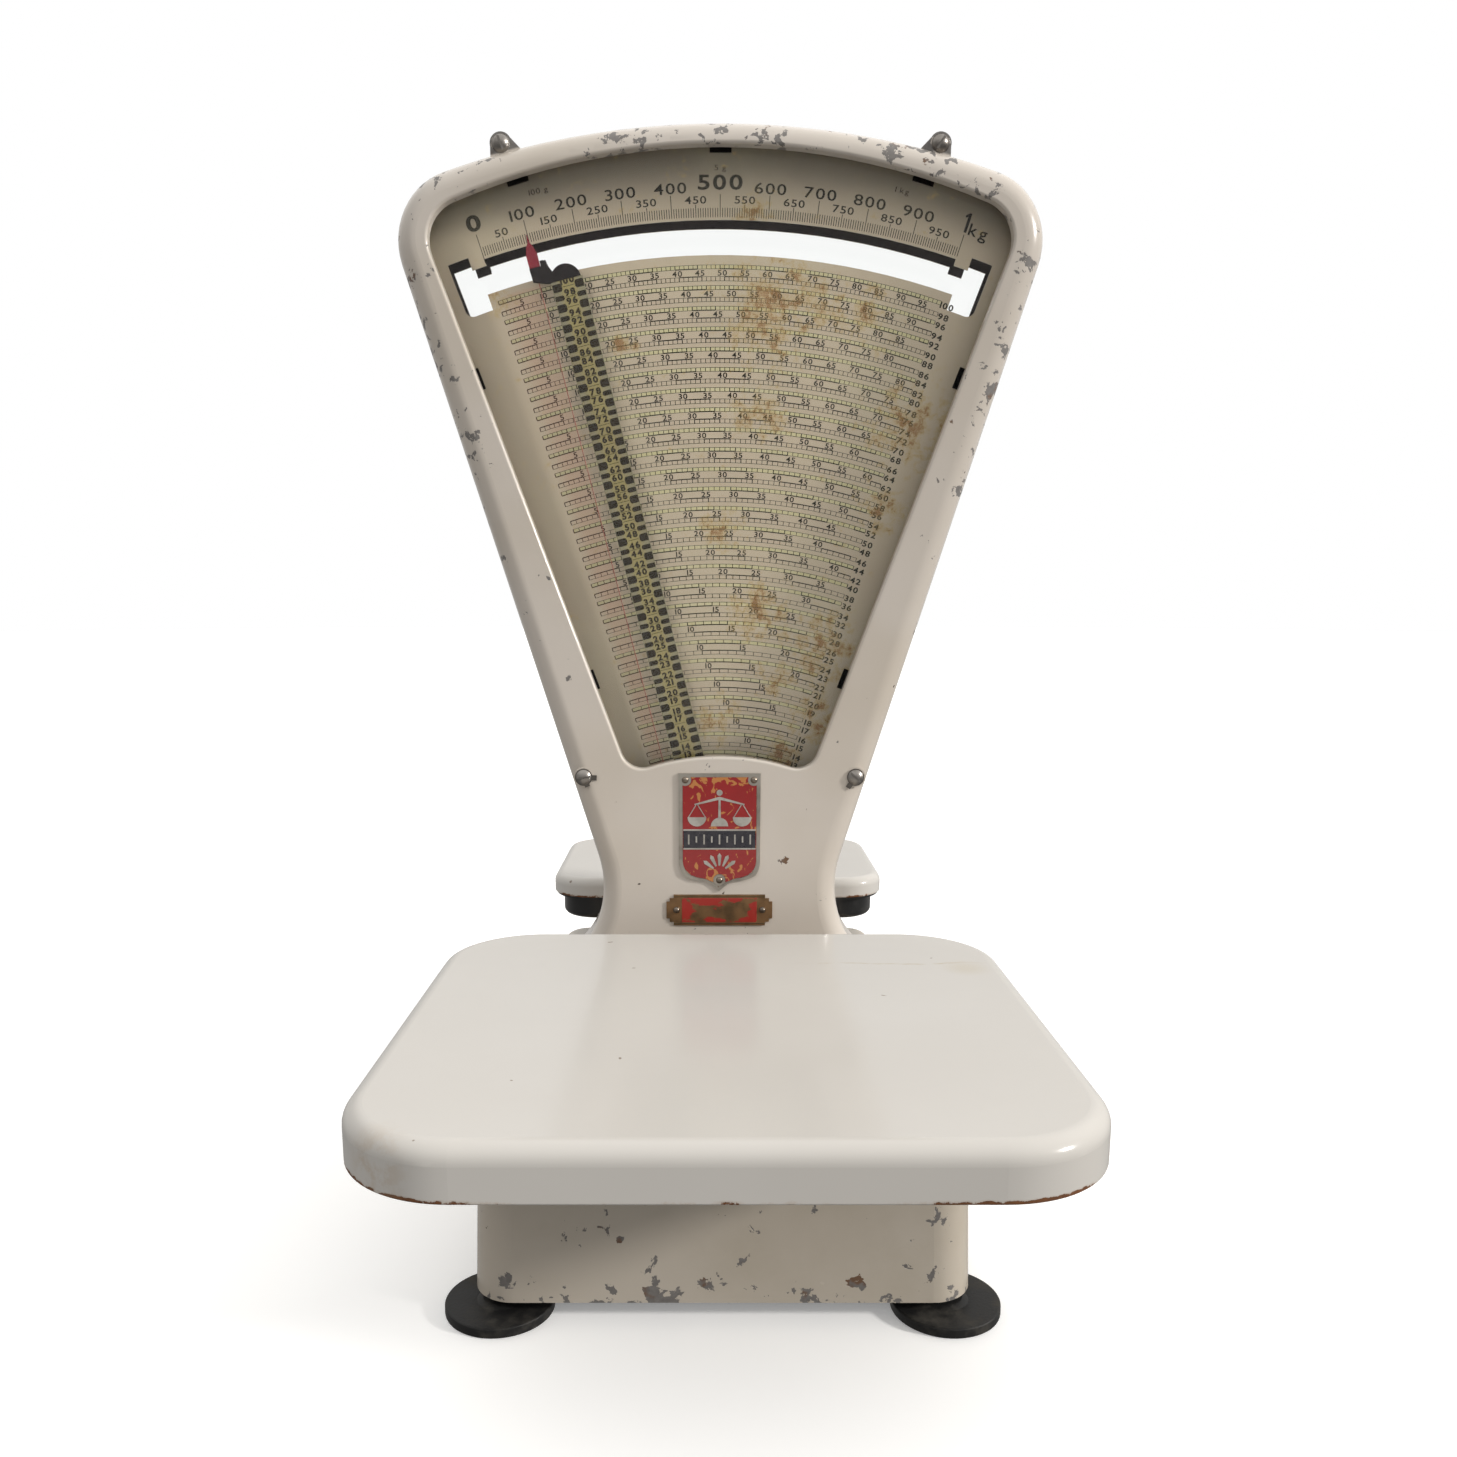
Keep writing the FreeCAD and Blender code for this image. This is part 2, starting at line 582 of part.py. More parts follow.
def head_front_shell():
    y = HEAD_FRONT
    outer = head_outline(y).extrude(V(0, SHELL_DEPTH, 0))
    outer = outer.makeFillet(OUTER_EDGE_R, edges_at_y(outer, y, BASE_TOP + 0.1))
    inner_face = head_outline(y + FACE_T).makeOffset2D(-SIDE_T)
    inner = inner_face.extrude(V(0, SHELL_DEPTH, 0))
    inner = inner.makeFillet(INNER_EDGE_R, edges_at_y(inner, y + FACE_T, BASE_TOP + SIDE_T + 0.1))
    floor_gap = block(-70.0, 70.0, y + FACE_T, HEAD_SPLIT + 1, BASE_TOP - 1, BASE_TOP + SIDE_T + 1)
    shell = outer.cut(inner).cut(floor_gap)
    window = window_outline(y)
    lip = window.makeOffset2D(LIP_W).cut(window)
    lip.translate(V(0, FACE_T - 0.5, 0))
    solids = [shell, lip.extrude(V(0, LIP_DEPTH + 0.5, 0))]
    solids += both_sides(head_lug().cut(inner))
    for x, z, radius, start in ((LOW_SCREW_X, LOW_SCREW_Z, 6.0, y - 0.2), (LUG_X, LUG_Z, 6.0, y + 7.5)):
        solids += both_sides(rod(radius, HEAD_SPLIT - start, V(x, start, z), ALONG))
    solids += both_sides(rod(6.5, 12.0, V(HEAD_BOLTS[2][0], HEAD_BOLTS[2][1], BASE_TOP)))
    shell = joined(solids)
    hole = window.extrude(V(0, WINDOW_EDGE_T + 2, 0))
    cuts = [hole]
    for x, z in ((LOW_SCREW_X, LOW_SCREW_Z), (LUG_X, LUG_Z)):
        cuts += both_sides(rod(2.6, SHELL_DEPTH + 2, V(x, y - 1, z), ALONG))
    cuts += both_sides(rod(3.05, 10.0, V(HEAD_BOLTS[2][0], HEAD_BOLTS[2][1], BASE_TOP - 1)))
    shell = shell.cut(Part.makeCompound(cuts))
    rim = [e for e in edges_at_y(shell, y, 0) if abs(e.BoundBox.XMax) < 170 and window_edge(e)]
    return shell.makeFillet(1.6, rim)


def window_edge(edge):
    """True if an edge of the front face lies on the window's outline."""
    middle = edge.valueAt((edge.FirstParameter + edge.LastParameter) / 2)
    return window_outline(HEAD_FRONT).OuterWire.distToShape(Part.Vertex(middle))[0] < 0.01


def head_bolt(x, y):
    under = V(x, y, BASE_CEILING)
    return rod(3.0, 13.0, under).fuse(hex_head(5.5, 3.5, under - V(0, 0, 3.5), UP))


def glass(y):
    """Window pane, larger than the window by most of the lip's width."""
    pane = window_outline(y).makeOffset2D(LIP_W - 1.0)
    return pane.extrude(V(0, GLASS_T, 0))


CLIP_REACH = 2.6


def glass_clips():
    """Spring clips at the edge of each pane."""
    clips = []
    side_heights = (285.0, 455.0)
    spots = [(x, 175.7 + math.sqrt(WINDOW_ARC_R ** 2 - x ** 2) - 0.5) for x in (-112.0, 0.0, 112.0)]
    spots += [(s * half_width(WINDOW_SIDE, z), z) for s in (-1, 1) for z in side_heights]
    for x, z in spots:
        on_side = math.copysign(90 + math.degrees(math.atan(WINDOW_SIDE[2])), x)
        tilt = math.degrees(math.atan2(x, z - WINDOW_ARC_Z)) if z > 500 else on_side
        reach = CLIP_REACH if x > 0 and z < 500 else CLIP_REACH / 2
        clip = block(-6, 6, 0, 0.8, -reach, 6.0).fuse(block(-6, 6, 0, 3.0, 4.5, 6.0))
        clip.rotate(V(0, 0, 0), ALONG, tilt)
        clip.translate(V(x, GLASS_Y + GLASS_T, z))
        clips.append(clip)
        clips.append(clip.mirror(V(0, HEAD_SPLIT, 0), ALONG))
    return clips


def shell_screw(x, z, start, head_r, dome, turn):
    """Slotted round-head screw that clamps the two shells, with its slot turned from level."""
    shank = rod(2.5, HEAD_BACK - 7.5 - start, V(x, start, z), ALONG)
    ball_r = (head_r ** 2 + dome ** 2) / (2 * dome)
    ball = Part.makeSphere(ball_r, V(x, start - dome + ball_r, z))
    head = ball.common(rod(head_r + 1.0, dome, V(x, start - dome, z), ALONG))
    slot = block(x - head_r, x + head_r, start - dome - 0.1, start - dome + 1.5, z - 0.6, z + 0.6)
    slot.rotate(V(x, start, z), ALONG, turn)
    return shank.fuse(head).removeSplitter().cut(slot)


WASHER_T = 0.8


def shell_screws():
    low_start = HEAD_FRONT - 0.2 - WASHER_T
    screws = []
    for s, ear_turn, low_turn in ((-1, 68.0, -6.0), (1, -56.0, 42.0)):
        screws.append(shell_screw(s * LUG_X, LUG_Z, HEAD_FRONT + 7.5, LUG_SCREW_R, 3.2, ear_turn))
        screws.append(shell_screw(s * LOW_SCREW_X, LOW_SCREW_Z, low_start, LOW_SCREW_R, 2.0, low_turn))
    return screws


def lock_washers():
    """Washers with a bent-out tab, under the two lower screws."""
    washers = []
    for s in (-1, 1):
        start = V(s * LOW_SCREW_X, HEAD_FRONT - 0.2 - WASHER_T, LOW_SCREW_Z)
        disc = rod(LOW_SCREW_R + 0.6, WASHER_T, start, ALONG)
        for turn, reach in ((93.0, 7.8), (157.0, 6.2)) if s < 0 else ((215.0, 7.8),):
            tab = block(-1.5, 1.5, 0, WASHER_T, 4.0, reach)
            tab.rotate(V(0, 0, 0), ALONG, turn)
            tab.translate(start)
            disc = disc.fuse(tab)
        hole = rod(2.6, 4.0, start - V(0, 1, 0), ALONG)
        washers.append(disc.cut(hole).removeSplitter())
    return washers


# ---- chart ----
def dial_sector(low_r, high_r, first, last, y, depth):
    """Curved slab between two radii and two angles about the pivot."""
    def at(angle, radius):
        x, z = along_dial(angle, radius)
        return V(x, y, z)
    middle = (first + last) / 2
    edges = [Part.Arc(at(first, high_r), at(middle, high_r), at(last, high_r)).toShape(),
             Part.LineSegment(at(last, high_r), at(last, low_r)).toShape(),
             Part.Arc(at(last, low_r), at(middle, low_r), at(first, low_r)).toShape(),
             Part.LineSegment(at(first, low_r), at(first, high_r)).toShape()]
    return Part.Face(Part.Wire(edges)).extrude(V(0, depth, 0))


def post_places():
    inset = SIDE_T + 6.0
    return [(s * (half_width(HEAD_SIDE, z) - inset), z) for s in (-1, 1) for z in POST_HEIGHTS]


def slot_pocket(side, y):
    """Deeper end of the slot, with a tab that hangs into it and a round lower corner."""
    low = dial_sector(POCKET_LOW_R, TAB_R, *sorted((side * POCKET_START, side * POCKET_END)), y - 1, 3)
    top = dial_sector(POCKET_LOW_R, POCKET_HIGH_R, *sorted((side * TAB_END, side * POCKET_END)), y - 1, 3)
    pocket = low.fuse(top).removeSplitter()
    x, z = along_dial(side * POCKET_END, POCKET_LOW_R)
    corner = [e for e in pocket.Edges if abs(e.Vertexes[0].X - x) < 0.01 and abs(e.Vertexes[-1].Z - z) < 0.01
              and abs(e.BoundBox.YLength - 3) < 0.01]
    return pocket.makeFillet(POCKET_CORNER_R, corner)


def chart_plate(y):
    """Chart plate with the see-through slot that the pointer's bridge runs in."""
    plate = head_outline(y).makeOffset2D(-SIDE_T - 1.0).extrude(V(0, CHART_T, 0))
    slot = dial_sector(SLOT_LOW_R, SLOT_HIGH_R, -SLOT_HALF, SLOT_HALF, y - 1, 3)
    ends = dial_sector(SLOT_LOW_R, TAB_R, -POCKET_START, POCKET_START, y - 1, 3)
    cuts = [block(-200, 200, y - 1, y + 2, 0, CHART_LOW_Z), slot.fuse(ends).removeSplitter()]
    for s in (-1, 1):
        cuts.append(slot_pocket(s, y))
        x0, x1 = sorted((s * 68.0, s * 100.0))
        cuts.append(block(x0, x1, y - 1, y + 2, 200.0, 240.0))
        cuts.append(rod(8.5, 3.0, V(s * LUG_X, y - 1, LUG_Z), ALONG))
    cuts += [rod(3.05, 3.0, V(x, y - 1, z), ALONG) for x, z in post_places()]
    return plate.cut(Part.makeCompound(cuts[:2])).cut(Part.makeCompound(cuts[2:]))


def chart_posts(rear_shell):
    """Stepped posts on the rear shell that carry both chart plates, with a clamping head in front."""
    posts = []
    for x, z in post_places():
        rear = CHART_REAR + CHART_T
        thick = rod(5.0, HEAD_BACK - FACE_T - rear, V(x, rear, z), ALONG)
        thin = rod(3.0, rear - CHART_FRONT + 1.0, V(x, CHART_FRONT - 1.0, z), ALONG)
        cap = rod(5.0, 2.0, V(x, CHART_FRONT - 2.0, z), ALONG)
        posts.append(joined([thick, thin, cap]).cut(rear_shell))
    return posts


def chart_spacers():
    start = CHART_FRONT + CHART_T
    sleeves = []
    for x, z in post_places():
        sleeve = rod(5.0, CHART_REAR - start, V(x, start, z), ALONG)
        sleeves.append(sleeve.cut(rod(3.05, 30.0, V(x, start - 5, z), ALONG)))
    return sleeves


# ---- badges ----
SHIELD_W = 48.7
SHIELD_TOP = 230.4
SHIELD_TIP = 158.5
SMALL_PLATE_Z = 146.8


def shield_outline(inset, y):
    """Heater shield: straight sides, round shoulders and a small point."""
    w = SHIELD_W / 2 - inset
    top = SHIELD_TOP - inset
    shoulder = SHIELD_TIP + 10.0 + inset * 0.6
    point = SHIELD_TIP + inset * 1.3
    flank = (8.5, shoulder - 3.6)
    corner = (w - 2.6, shoulder - 0.2)
    steps = [((w, top),), ((w, shoulder + 7.0),), ((w - 1.4, shoulder + 2.2), corner),
             ((w - 8.0, shoulder - 2.6), flank), ((4.0, shoulder - 6.2), (0, point))]
    return mirrored_outline((0, top), steps, y)


def shield_badge():
    plate = shield_outline(0, HEAD_FRONT - 1.3).extrude(V(0, 1.3, 0))
    recess = shield_outline(2.2, HEAD_FRONT - 2.0).extrude(V(0, 1.2, 0))
    pads = [rod(3.4, 3.0, V(x, HEAD_FRONT - 2.5, z), ALONG) for x, z in shield_rivets()]
    recess = recess.cut(Part.makeCompound(pads))
    holes = [rod(1.3, 6.0, V(x, HEAD_FRONT - 4, z), ALONG) for x, z in shield_rivets()]
    return plate.cut(recess).cut(Part.makeCompound(holes))


def shield_rivets():
    return [(-20.4, SHIELD_TOP - 4.0), (20.4, SHIELD_TOP - 4.0), (0.0, SHIELD_TIP + 7.0)]


def small_plate_rivets():
    return [(-26.0, SMALL_PLATE_Z), (26.0, SMALL_PLATE_Z)]


def small_plate():
    """Narrow plate whose corners are cut in two steps."""
    bars = [(32.0, 5.2), (30.0, 7.3), (27.6, 9.5)]
    y = HEAD_FRONT - 0.9
    body = joined([block(-x, x, y, HEAD_FRONT, SMALL_PLATE_Z - z, SMALL_PLATE_Z + z) for x, z in bars])
    holes = [rod(1.3, 4.0, V(x, y - 1, z), ALONG) for x, z in small_plate_rivets()]
    return body.cut(Part.makeCompound(holes))


def rivet(x, z, seat):
    dome = Part.makeSphere(2.2, V(x, seat + 0.8, z)).common(rod(2.2, 1.4, V(x, seat - 1.4, z), ALONG))
    return dome.fuse(rod(1.25, HEAD_FRONT - seat - 0.05, V(x, seat, z), ALONG))


def badge_rivets():
    rivets = [rivet(x, z, HEAD_FRONT - 1.3) for x, z in shield_rivets()]
    return rivets + [rivet(x, z, HEAD_FRONT - 0.9) for x, z in small_plate_rivets()]


# ---- pendulum ----
BRACKET_T = 4.0
FRONT_BRACKET_Y = HEAD_FRONT + FACE_T + 2.0
REAR_BRACKET_Y = HEAD_BACK - FACE_T - BRACKET_T


def pendulum_brackets():
    """Two angle brackets on the base's top that carry the pendulum's bearings."""
    brackets = []
    spans = ((FRONT_BRACKET_Y, FRONT_BRACKET_Y, 47.5), (REAR_BRACKET_Y, 82.5, REAR_BRACKET_Y + BRACKET_T))
    for y, foot0, foot1 in spans:
        upright = block(-12.0, 12.0, y, y + BRACKET_T, BASE_TOP, PIVOT_Z)
        crown = rod(12.0, BRACKET_T, V(0, y, PIVOT_Z), ALONG)
        plate = block(-26.0, 26.0, foot0, foot1, BASE_TOP, BASE_TOP + 3.0)
        hole = rod(6.0 + SEATED, 10.0, V(0, y - 3, PIVOT_Z), ALONG)
        brackets.append(joined([upright, crown, plate]).cut(hole))
    return brackets


def pendulum_bearings():
    bushes = []
    for y in (FRONT_BRACKET_Y, REAR_BRACKET_Y):
        bush = rod(6.0, BRACKET_T, V(0, y, PIVOT_Z), ALONG)
        bushes.append(bush.cut(rod(SHAFT_R + RUNNING, 10.0, V(0, y - 3, PIVOT_Z), ALONG)))
    return bushes


def pendulum_shaft():
    y0 = FRONT_BRACKET_Y - 0.6
    return rod(SHAFT_R, REAR_BRACKET_Y + BRACKET_T - y0, V(0, y0, PIVOT_Z), ALONG)


def on_shaft(radius, y, thickness):
    """Hub disc, with room for the shaft cut later."""
    return rod(radius, thickness, V(0, y, PIVOT_Z), ALONG)


def shaft_hole():
    return rod(SHAFT_R + SEATED, 80.0, V(0, 20.0, PIVOT_Z), ALONG)


def as_pendulum(shape):
    """Pendulum part drawn at no load, as it stands at rest."""
    return shape.rotated(V(0, 0, PIVOT_Z), ALONG, REST_SHARE * FULL_LOAD_SWING)


ARM_Y0 = 60.0
ARM_Y1 = 64.0


def pendulum_arm():
    bar = block(-4.0, 4.0, ARM_Y0, ARM_Y1, PIVOT_Z - BOB_ARM - 6.0, PIVOT_Z)
    hub = on_shaft(8.0, ARM_Y0 - 1.0, ARM_Y1 - ARM_Y0 + 2.0)
    return as_pendulum(joined([bar, hub]).cut(shaft_hole()))


def pendulum_bob():
    """Round weight with a groove that the arm sits in."""
    bob = rod(BOB_R, 14.0, V(0, ARM_Y0 - 5.0, PIVOT_Z - BOB_ARM), ALONG)
    bob = bob.makeFillet(1.0, [e for e in bob.Edges if len(e.Vertexes) == 1])
    groove = block(-4.02, 4.02, ARM_Y0 - 0.02, ARM_Y1 + 0.02, PIVOT_Z - BOB_ARM - 6.02, PIVOT_Z)
    return as_pendulum(bob.cut(groove))


def crank_arm():
    """Disc on the shaft with an off-centre pin, drawn with the crank level."""
    disc = on_shaft(11.0, 68.5, 3.0)
    pin = rod(1.3, 6.5, V(-CRANK_R, 71.5, PIVOT_Z), ALONG)
    return with_pointer(joined([disc, pin]).cut(shaft_hole()))


def link_rod():
    """Link with its lower eye across the scale and its upper eye along it."""
    low = V(LINK_X, FULCRUM_Y + LINK_REACH * math.cos(math.radians(REST_ROCK)),
            FULCRUM_Z + LINK_REACH * math.sin(math.radians(REST_ROCK)))
    high = V(LINK_X, LINK_Y, PIVOT_Z + CRANK_R * math.sin(math.radians(REST_SWING)))
    low_eye = rod(3.6, 5.0, low - V(2.5, 0, 0), ACROSS)
    high_eye = rod(3.3, 3.4, high - V(0, 1.7, 0), ALONG)
    bar = block(LINK_X - 1.6, LINK_X + 1.6, LINK_Y - 1.6, LINK_Y + 1.6, low.z + 2.6, high.z - 2.6)
    holes = [rod(2.0, 8.0, low - V(4, 0, 0), ACROSS), rod(1.85, 8.0, high - V(0, 4, 0), ALONG)]
    return joined([low_eye, bar, high_eye]).cut(Part.makeCompound(holes))


def pointer_plate(y, points, thickness):
    """Flat plate from points given as (aside, radius) from the pivot."""
    ring = [V(a, y, PIVOT_Z + r) for a, r in points]
    return Part.Face(Part.makePolygon(ring + ring[:1])).extrude(V(0, thickness, 0))


def pointer_frame():
    """Hub, two converging arms and the foot of the ladder and hairline."""
    y = POINTER_Y
    hub = on_shaft(10.0, y - 1.5, 4.0)
    left = pointer_plate(y, [(-4.0, 0.0), (4.0, 0.0), (0.8, 132.0), (-1.6, 132.0)], POINTER_T)
    right = pointer_plate(y, [(-2.0, 0.0), (8.0, 0.0), (LADDER_OUT, 125.0), (LADDER_IN + 7, 125.0)],
                          POINTER_T)
    bridge = pointer_plate(y, [(-1.6, 124.0), (LADDER_OUT, 124.0), (LADDER_OUT, LADDER_LOW - 4),
                               (-1.6, LADDER_LOW - 4)], POINTER_T)
    return with_pointer(joined([hub, left, right, bridge]).cut(shaft_hole()))


def pointer_ladder():
    """Strip beside the hairline that carries the row prices."""
    y = POINTER_Y + 0.1
    strip = pointer_plate(y, [(LADDER_IN, LADDER_LOW - 4), (LADDER_OUT, LADDER_LOW - 4),
                              (LADDER_OUT, LADDER_HIGH), (LADDER_IN, LADDER_HIGH)], 0.8)
    return with_pointer(strip)


def pointer_hairline():
    start = LADDER_LOW - 4.0
    foot = V(0, POINTER_Y + 0.6, PIVOT_Z + start)
    return with_pointer(rod(0.25, LADDER_HIGH + 8.0 - start, foot))


BRIDGE_IN = 3.4
BRIDGE_OUT = 6.8
CAP_TOP = 430.0


def pointer_head():
    """Black cap over the top of the ladder, and the bridge that runs from it through the slot."""
    y = POINTER_Y - 0.6
    foot = pointer_plate(y, [(-3.0, LADDER_HIGH + 2.8), (-3.3, CAP_TOP), (BRIDGE_IN, CAP_TOP),
                             (BRIDGE_IN, CAP_TOP + 2.8), (5.4, CAP_TOP + 2.8), (8.9, CAP_TOP - 4.0),
                             (8.9, LADDER_HIGH), (5.0, LADDER_HIGH)], 2.0)
    dome = rod(8.8, 2.0, V(15.3, y, PIVOT_Z + LADDER_HIGH - 0.6), ALONG)
    under = block(0, 30, y - 1, y + 3, PIVOT_Z + LADDER_HIGH - 20, PIVOT_Z + LADDER_HIGH)
    cap = foot.fuse(dome.cut(under)).removeSplitter()
    cap = cap.cut(rod(0.27, 12.0, V(0, POINTER_Y + 0.6, PIVOT_Z + LADDER_HIGH - 1)))
    middle = PIVOT_Z + CAP_TOP
    bridge = block(BRIDGE_IN, BRIDGE_OUT, y, REAR_POINTER_Y + 1.0, middle - 2.9, middle + 2.5)
    return with_pointer(joined([cap, bridge]))


def pointer_tip():
    """Red pointer above the cap: a blunt blade that ends in a needle."""
    half = [(3.1, CAP_TOP), (3.2, 437.2), (1.9, 441.2), (0.6, 443.6), (0.2, 448.0)]
    ring = half + [(-aside, radius) for aside, radius in reversed(half)]
    return with_pointer(pointer_plate(POINTER_Y - 0.4, ring, 0.9))


def rear_pointer_frame():
    """Pointer for the seller's side, a plain tapered blade that carries the end of the bridge."""
    y = REAR_POINTER_Y
    hub = on_shaft(10.0, y - 0.6, 2.6)
    blade = pointer_plate(y, [(-4.0, 0.0), (4.0, 0.0), (2.0, 60.0), (1.4, 426.0), (0.2, 445.0), (-0.2, 445.0),
                              (-1.4, 426.0), (-2.0, 60.0)], POINTER_T)
    grip = [(-1.4, 426.8), (BRIDGE_OUT, 426.8), (BRIDGE_OUT, 433.0), (-1.4, 433.0)]
    holder = pointer_plate(y + 1.0, grip, 1.2)
    return with_pointer(joined([hub, blade, holder]).cut(shaft_hole()))


# ---- dashpot ----
DASH_R = 15.0
DASH_LOW = COVER_Z + COVER_T
DASH_HIGH = 38.0


def dashpot_cylinder():
    wall = rod(DASH_R, DASH_HIGH - DASH_LOW, V(DASH_X, DASH_Y, DASH_LOW))
    flange = rod(DASH_R + 4, 2.5, V(DASH_X, DASH_Y, DASH_LOW))
    bore = rod(DASH_R - 2, DASH_HIGH - DASH_LOW, V(DASH_X, DASH_Y, DASH_LOW + 2.5))
    return joined([wall, flange]).cut(bore)


def dashpot_lid():
    lid = rod(DASH_R, 2.0, V(DASH_X, DASH_Y, DASH_HIGH))
    return lid.cut(rod(3.0, 4.0, V(DASH_X, DASH_Y, DASH_HIGH - 1)))


def dashpot_plunger():
    """Piston disc and rod with an eye round the damper arm's pin."""
    reach = DASH_Y - FULCRUM_Y
    eye_z = FULCRUM_Z + reach * math.sin(math.radians(REST_ROCK))
    eye_y = FULCRUM_Y + reach * math.cos(math.radians(REST_ROCK))
    piston = rod(DASH_R - 2.6, 3.0, V(DASH_X, DASH_Y, 19.5))
    stalk = rod(2.0, eye_z - 3.0 - 22.0, V(DASH_X, DASH_Y, 22.0))
    eye = rod(4.0, 3.6, V(DASH_X - 1.8, eye_y, eye_z), ACROSS)
    hole = rod(1.95, 6.0, V(DASH_X - 3, eye_y, eye_z), ACROSS)
    return joined([piston, stalk, eye]).cut(hole)


def save(name, shape):
    """Writes one node, a single solid or a group of separate ones."""
    group = shape if isinstance(shape, list) else [shape]
    solids = [s for one in group for s in one.Solids]
    assert solids and all(s.isValid() for s in solids), name
    out = solids[0] if len(solids) == 1 else Part.makeCompound(solids)
    out.exportStep("parts/" + name + ".step")
    print(name, len(solids), round(sum(s.Volume for s in solids) / 1000, 2), "cm3")


def main():
    os.makedirs("parts", exist_ok=True)
    save("base_casting", base_casting())
    save("bottom_cover", bottom_cover())
    save("bottom_cover_screws", [cover_screw(x, y) for x, y in COVER_SCREWS])
    for name, (x, y) in zip(("front_left", "front_right", "rear_left", "rear_right"), foot_places()):
        save("foot_" + name, foot(x, y))
    save("fulcrum_bridge", fulcrum_bridge())
    save("fulcrum_bridge_bolts", [bridge_bolt(s) for s in (-1, 1)])
    save("fulcrum_bearings", [vee_block(s, FULCRUM_Y, FULCRUM_Z, True) for s in (-1, 1)])
    save("stay_anchor_pin", rod(3.0, 26.0, V(-13.0, FULCRUM_Y, STAY_Z), ACROSS))
    save("main_beam", main_beam())
    save("knife_edges", [with_beam(k) for k in knives()])
    save("beam_link_pin", beam_link_pin())
    save("poise_rod", poise_rod())
    save("zero_poise_nut", zero_poise_nut())
    save("damper_arm", damper_arm())
    save("front_stay", stay(-1, -7.0))
    save("rear_stay", stay(1, 3.0))
    save("goods_carrier_stem", goods_carrier_stem())
    save("goods_carrier_bearings", carrier_bearings(GOODS_Y, GOODS_RISE))
    save("goods_carrier_spider", goods_carrier_spider())
    save("goods_carrier_buffers", goods_carrier_buffers())
    save("goods_pan", pan(GOODS_W, GOODS_LEN, GOODS_R, GOODS_PAN_Y, GOODS_RIM, 8.0))
    save("weights_carrier_stem", weights_carrier_stem())
    save("weights_carrier_bearings", carrier_bearings(WEIGHTS_Y, -GOODS_RISE))
    save("weights_carrier_tray", weights_carrier_tray())
    save("weights_pan", pan(WEIGHTS_W, WEIGHTS_LEN, WEIGHTS_R, WEIGHTS_PAN_Y, WEIGHTS_RIM, 6.0))
    front_shell = head_front_shell()
    save("head_front_shell", front_shell)
    rear_shell = front_shell.mirror(V(0, HEAD_SPLIT, 0), ALONG)
    save("head_rear_shell", rear_shell)
    save("head_foot_bolts", [head_bolt(x, y) for x, y in HEAD_BOLTS])
    save("front_glass", glass(GLASS_Y))
    save("rear_glass", glass(HEAD_BACK - WINDOW_EDGE_T - GLASS_T))
    save("glass_clips", glass_clips())
    save("shell_screws", shell_screws())
    save("lock_washers", lock_washers())
    save("chart_plate_front", chart_plate(CHART_FRONT))
    save("chart_plate_rear", chart_plate(CHART_REAR))
    save("chart_posts", chart_posts(rear_shell))
    save("chart_spacers", chart_spacers())
    save("shield_badge", shield_badge())
    save("small_plate", small_plate())
    save("badge_rivets", badge_rivets())
    save("pendulum_brackets", pendulum_brackets())
    save("pendulum_bearings", pendulum_bearings())
    save("pendulum_shaft", pendulum_shaft())
    save("pendulum_arm", pendulum_arm())
    save("pendulum_bob", pendulum_bob())
    save("crank_arm", crank_arm())
    save("link_rod", link_rod())
    save("pointer_frame", pointer_frame())
    save("pointer_ladder", pointer_ladder())
    save("pointer_hairline", pointer_hairline())
    save("pointer_head", pointer_head())
    save("pointer_tip", pointer_tip())
    save("rear_pointer_frame", rear_pointer_frame())
    save("dashpot_cylinder", dashpot_cylinder())
    save("dashpot_lid", dashpot_lid())
    save("dashpot_plunger", dashpot_plunger())


main()
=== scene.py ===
"""Looks of the fan-head counter scale: finishes, chart and ladder print, badge enamel, camera and light."""
import math

import bpy
import numpy as np
from mathutils import Matrix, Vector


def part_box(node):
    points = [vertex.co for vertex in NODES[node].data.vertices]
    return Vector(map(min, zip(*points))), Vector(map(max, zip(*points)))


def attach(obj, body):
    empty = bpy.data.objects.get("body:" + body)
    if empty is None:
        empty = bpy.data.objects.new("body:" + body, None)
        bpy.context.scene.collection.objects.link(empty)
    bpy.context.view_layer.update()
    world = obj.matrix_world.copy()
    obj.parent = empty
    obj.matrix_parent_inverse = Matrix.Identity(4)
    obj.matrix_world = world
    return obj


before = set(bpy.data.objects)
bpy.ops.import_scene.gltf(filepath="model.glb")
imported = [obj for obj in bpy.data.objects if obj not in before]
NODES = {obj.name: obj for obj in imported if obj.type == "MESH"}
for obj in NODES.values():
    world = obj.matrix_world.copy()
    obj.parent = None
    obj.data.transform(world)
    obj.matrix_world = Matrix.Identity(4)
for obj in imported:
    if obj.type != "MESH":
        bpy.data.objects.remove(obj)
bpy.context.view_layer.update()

# ---- dimensions repeated from the CAD source, in metres ----
FULL_SWING = 35.2                     # degrees that the pointer turns for the full load
REST_SWING = -0.4 * FULL_SWING        # where it stands at rest
PIVOT_Z = 0.099
CHART_FRONT_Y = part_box("chart_plate_front")[0].y
CHART_REAR_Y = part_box("chart_plate_rear")[1].y
LADDER_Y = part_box("pointer_ladder")[0].y
HEAD_FACE_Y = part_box("head_front_shell")[0].y
HEAD_SIDE = (0.0846, 0.2143, 0.310)   # half width, its height, and growth with height
HEAD_ARC = (0.1022, 0.4865)           # centre height and radius of the head's arch
EAR = (0.1206, 0.5779, 0.0058)        # distance from the middle, height and radius of the ears
SLOT_HALF = math.radians(FULL_SWING / 2)
SHIELD_W, SHIELD_TOP, SHIELD_TIP = 0.0487, 0.2304, 0.1585
